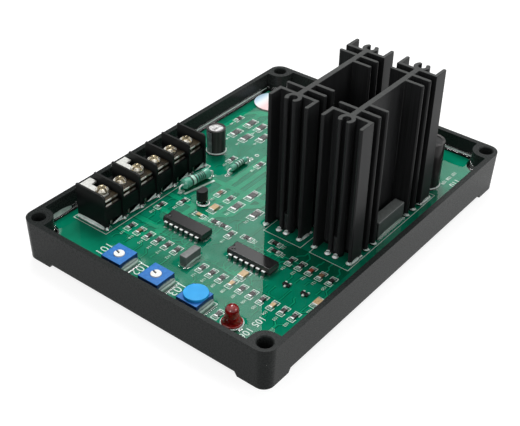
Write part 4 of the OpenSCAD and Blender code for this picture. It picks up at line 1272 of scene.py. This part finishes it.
def sleeve_stripe(node, turn):
    """Paler stripe down one side of a capacitor's sleeve."""
    low, high = span(node)
    x, y, radius = round_part(node)
    angles = [turn + STRIPE_ARC * (i / STRIPE_STEPS - 0.5) for i in range(STRIPE_STEPS + 1)]
    ring = around(x, y, radius + STRIPE_PROUD, angles) + around(x, y, radius - STRIPE_SINK, angles[::-1])
    bm = bmesh.new()
    add_prism(bm, ring, high[2] - STRIPE_END, high[2] - low[2] - 2 * STRIPE_END)
    piece(node + "_stripe", bm, [STRIPE], smooth=SHARP)


def rotor_slot_painted_shade(i):
    """Painted shade in a rotor's pointer slot: a dark strip where the white slot lies in shadow."""
    top = span(f"trimmer_{i}_rotor")[1][2]
    x, y, radius = round_part(f"trimmer_{i}_rotor")
    bm = bmesh.new()
    add_box(
        bm, (-POINTER_HALF, POINTER_START, top - POINTER_FLOOR),
        (POINTER_HALF, radius - POINTER_END, top - POINTER_TOP), POINTER_BEVEL,
    )
    place = Matrix.Translation((x * MM, y * MM, 0)) @ Matrix.Rotation(POINTER_TURN, 4, "Z")
    bmesh.ops.transform(bm, matrix=place, verts=bm.verts)
    piece(f"rotor_{i}_pointer", bm, [CHIP_DARK], f"rotor_{i}")


def sticker():
    """Plain disc with soft bands of pale colours."""
    low, high = span("round_sticker")
    x, y, radius = round_part("round_sticker")
    bands = (
        (0.0, (0.78, 0.52, 0.52)), (0.35, (0.8, 0.72, 0.72)),
        (0.6, (0.76, 0.82, 0.85)), (1.0, (0.46, 0.62, 0.74)),
    )
    end = y + STICKER_FADE
    mat = graded("sticker_film", {"Roughness": 0.3}, "Y", y, end, bands, grain=3, share=0.15)
    bm = bmesh.new()
    add_disc(bm, x, y, radius, high[2], high[2] - low[2], STICKER_SIDES)
    piece("sticker_disc", bm, [mat], replaces=["round_sticker"], smooth=SHARP)


can_vent("small_capacitor_can", SMALL_VENT, STEEL)
can_vent("tall_capacitor_can", TALL_VENT, MOULDED)
sleeve_stripe("small_capacitor_sleeve", SMALL_STRIPE_TURN)
sleeve_stripe("tall_capacitor_sleeve", TALL_STRIPE_TURN)
for number in (1, 2):
    rotor_slot_painted_shade(number)
sticker()


# Floor and light, with sizes in metres

FLOOR_SIZE = (8, 8)
FLOOR_GREY = (0.3, 0.3, 0.3, 1)
FLOOR_GLOW = 0.8
WORLD_LIGHT = 0.35
CARD_SIZE = (3.0, 1.7)
# Heading and height in degrees, and distance
CARD_PLACE = (30, 36, 1.6)
# Places in millimetres across and up the card between which it goes from dim to bright, and both levels
CARD_ASIDE = (400, 180, (0.1, 2.0))
CARD_ABOVE = (-200, 150, (0.5, 1.0))
# Heading and height in degrees, distance, size and radiance
SOFTBOXES = {
    "back_softbox": (45, 62, 1.4, (0.5, 0.5), 14.0),
    "top_softbox": (200, 82, 1.2, (1.0, 1.0), 0.9),
    "side_softbox": (-70, 28, 1.2, (0.5, 0.4), 5.0),
    "left_softbox": (190, 25, 1.2, (0.5, 0.4), 5.0),
}


def seen_directly(owner):
    """A value of 1 for rays from the camera and for those mirrored or let through."""
    paths = add(owner, "LightPath").outputs
    either = calc(owner, "MAXIMUM", paths["Is Camera Ray"], paths["Is Glossy Ray"])
    return calc(owner, "MAXIMUM", either, paths["Is Transmission Ray"])


def stage_card(name, mat, size):
    """A flat rectangle that faces up and isn't part of the object."""
    bm = bmesh.new()
    bmesh.ops.create_grid(bm, x_segments=1, y_segments=1, size=0.5)
    bmesh.ops.scale(bm, vec=(*size, 1), verts=bm.verts)
    obj = put(name, meshed(name, bm, [mat]))
    return obj


def floor():
    """White where it is seen, and a grey that keeps the object's shadow."""
    mat, _ = material("floor_white")
    matte = add(mat, "BsdfDiffuse", {"Color": FLOOR_GREY})
    level = calc(mat, "MULTIPLY", seen_directly(mat), FLOOR_GLOW)
    glow = add(mat, "Emission", {"Color": PURE_WHITE, "Strength": level})
    shade(mat, add(mat, "AddShader", {0: matte.outputs[0], 1: glow.outputs[0]}).outputs[0])
    stage_card("floor", mat, FLOOR_SIZE)


def world():
    """White where it is seen, and dimmer as a light."""
    made = bpy.data.worlds.new("studio")
    bpy.context.scene.world = made
    made.use_nodes = True
    level = mapped(made, seen_directly(made), 0, 1, (WORLD_LIGHT, 1))
    fill(made, made.node_tree.nodes["Background"], {"Color": PURE_WHITE, "Strength": level})


def aim_at_object(obj, heading, height, distance):
    """Places an object in a direction from the part, in degrees and metres, with its back to it."""
    a, e = math.radians(heading), math.radians(height)
    away = Vector((math.cos(e) * math.cos(a), math.cos(e) * math.sin(a), math.sin(e)))
    obj.location = away * distance
    obj.rotation_euler = away.to_track_quat("Z", "Y").to_euler()


def softbox(name, heading, height, distance, size, radiance):
    lamp = bpy.data.lights.new(name, "AREA")
    lamp.shape = "RECTANGLE"
    lamp.size, lamp.size_y = size
    lamp.energy = radiance * math.pi * size[0] * size[1]
    obj = put(name, lamp)
    aim_at_object(obj, heading, height, distance)
    obj.visible_camera = False


def back_card():
    """A glowing card behind the object, dimmer toward its left and foot, for the sheen on the resin."""
    mat, _ = material("back_card")
    level = calc(mat, "MULTIPLY", axis_value(mat, "X", *CARD_ASIDE), axis_value(mat, "Y", *CARD_ABOVE))
    shade(mat, add(mat, "Emission", {"Color": PURE_WHITE, "Strength": level}).outputs[0])
    obj = stage_card("back_card", mat, CARD_SIZE)
    aim_at_object(obj, *CARD_PLACE)
    obj.visible_camera = False


# Camera, as fitted to the photograph

IMAGE_WIDTH = 520
SENSOR = 36.0
FOCAL_PX = 1043.7
SHIFT_PX = (7.93, -8.79)
CAMERA_AT = (-272.5, -199.9, 247.1)
HEADING, TILT, ROLL = 37.68, 35.46, 1.24
CLIP_START = 0.01


def camera():
    made = bpy.data.cameras.new("camera")
    made.sensor_width = SENSOR
    made.lens = FOCAL_PX / IMAGE_WIDTH * SENSOR
    made.shift_x, made.shift_y = (shift / IMAGE_WIDTH for shift in SHIFT_PX)
    made.clip_start = CLIP_START
    obj = put("camera", made)
    heading, tilt, roll = (math.radians(v) for v in (HEADING, TILT, ROLL))
    aim = Euler((math.pi / 2 - tilt, 0, heading - math.pi / 2)).to_matrix().to_4x4()
    place = Matrix.Translation(Vector(CAMERA_AT) * MM)
    obj.matrix_world = place @ aim @ Matrix.Rotation(roll, 4, "Z")
    bpy.context.scene.camera = obj


floor()
world()
back_card()
for name, values in SOFTBOXES.items():
    softbox(name, *values)
camera()
bpy.context.scene.view_settings.view_transform = "Standard"
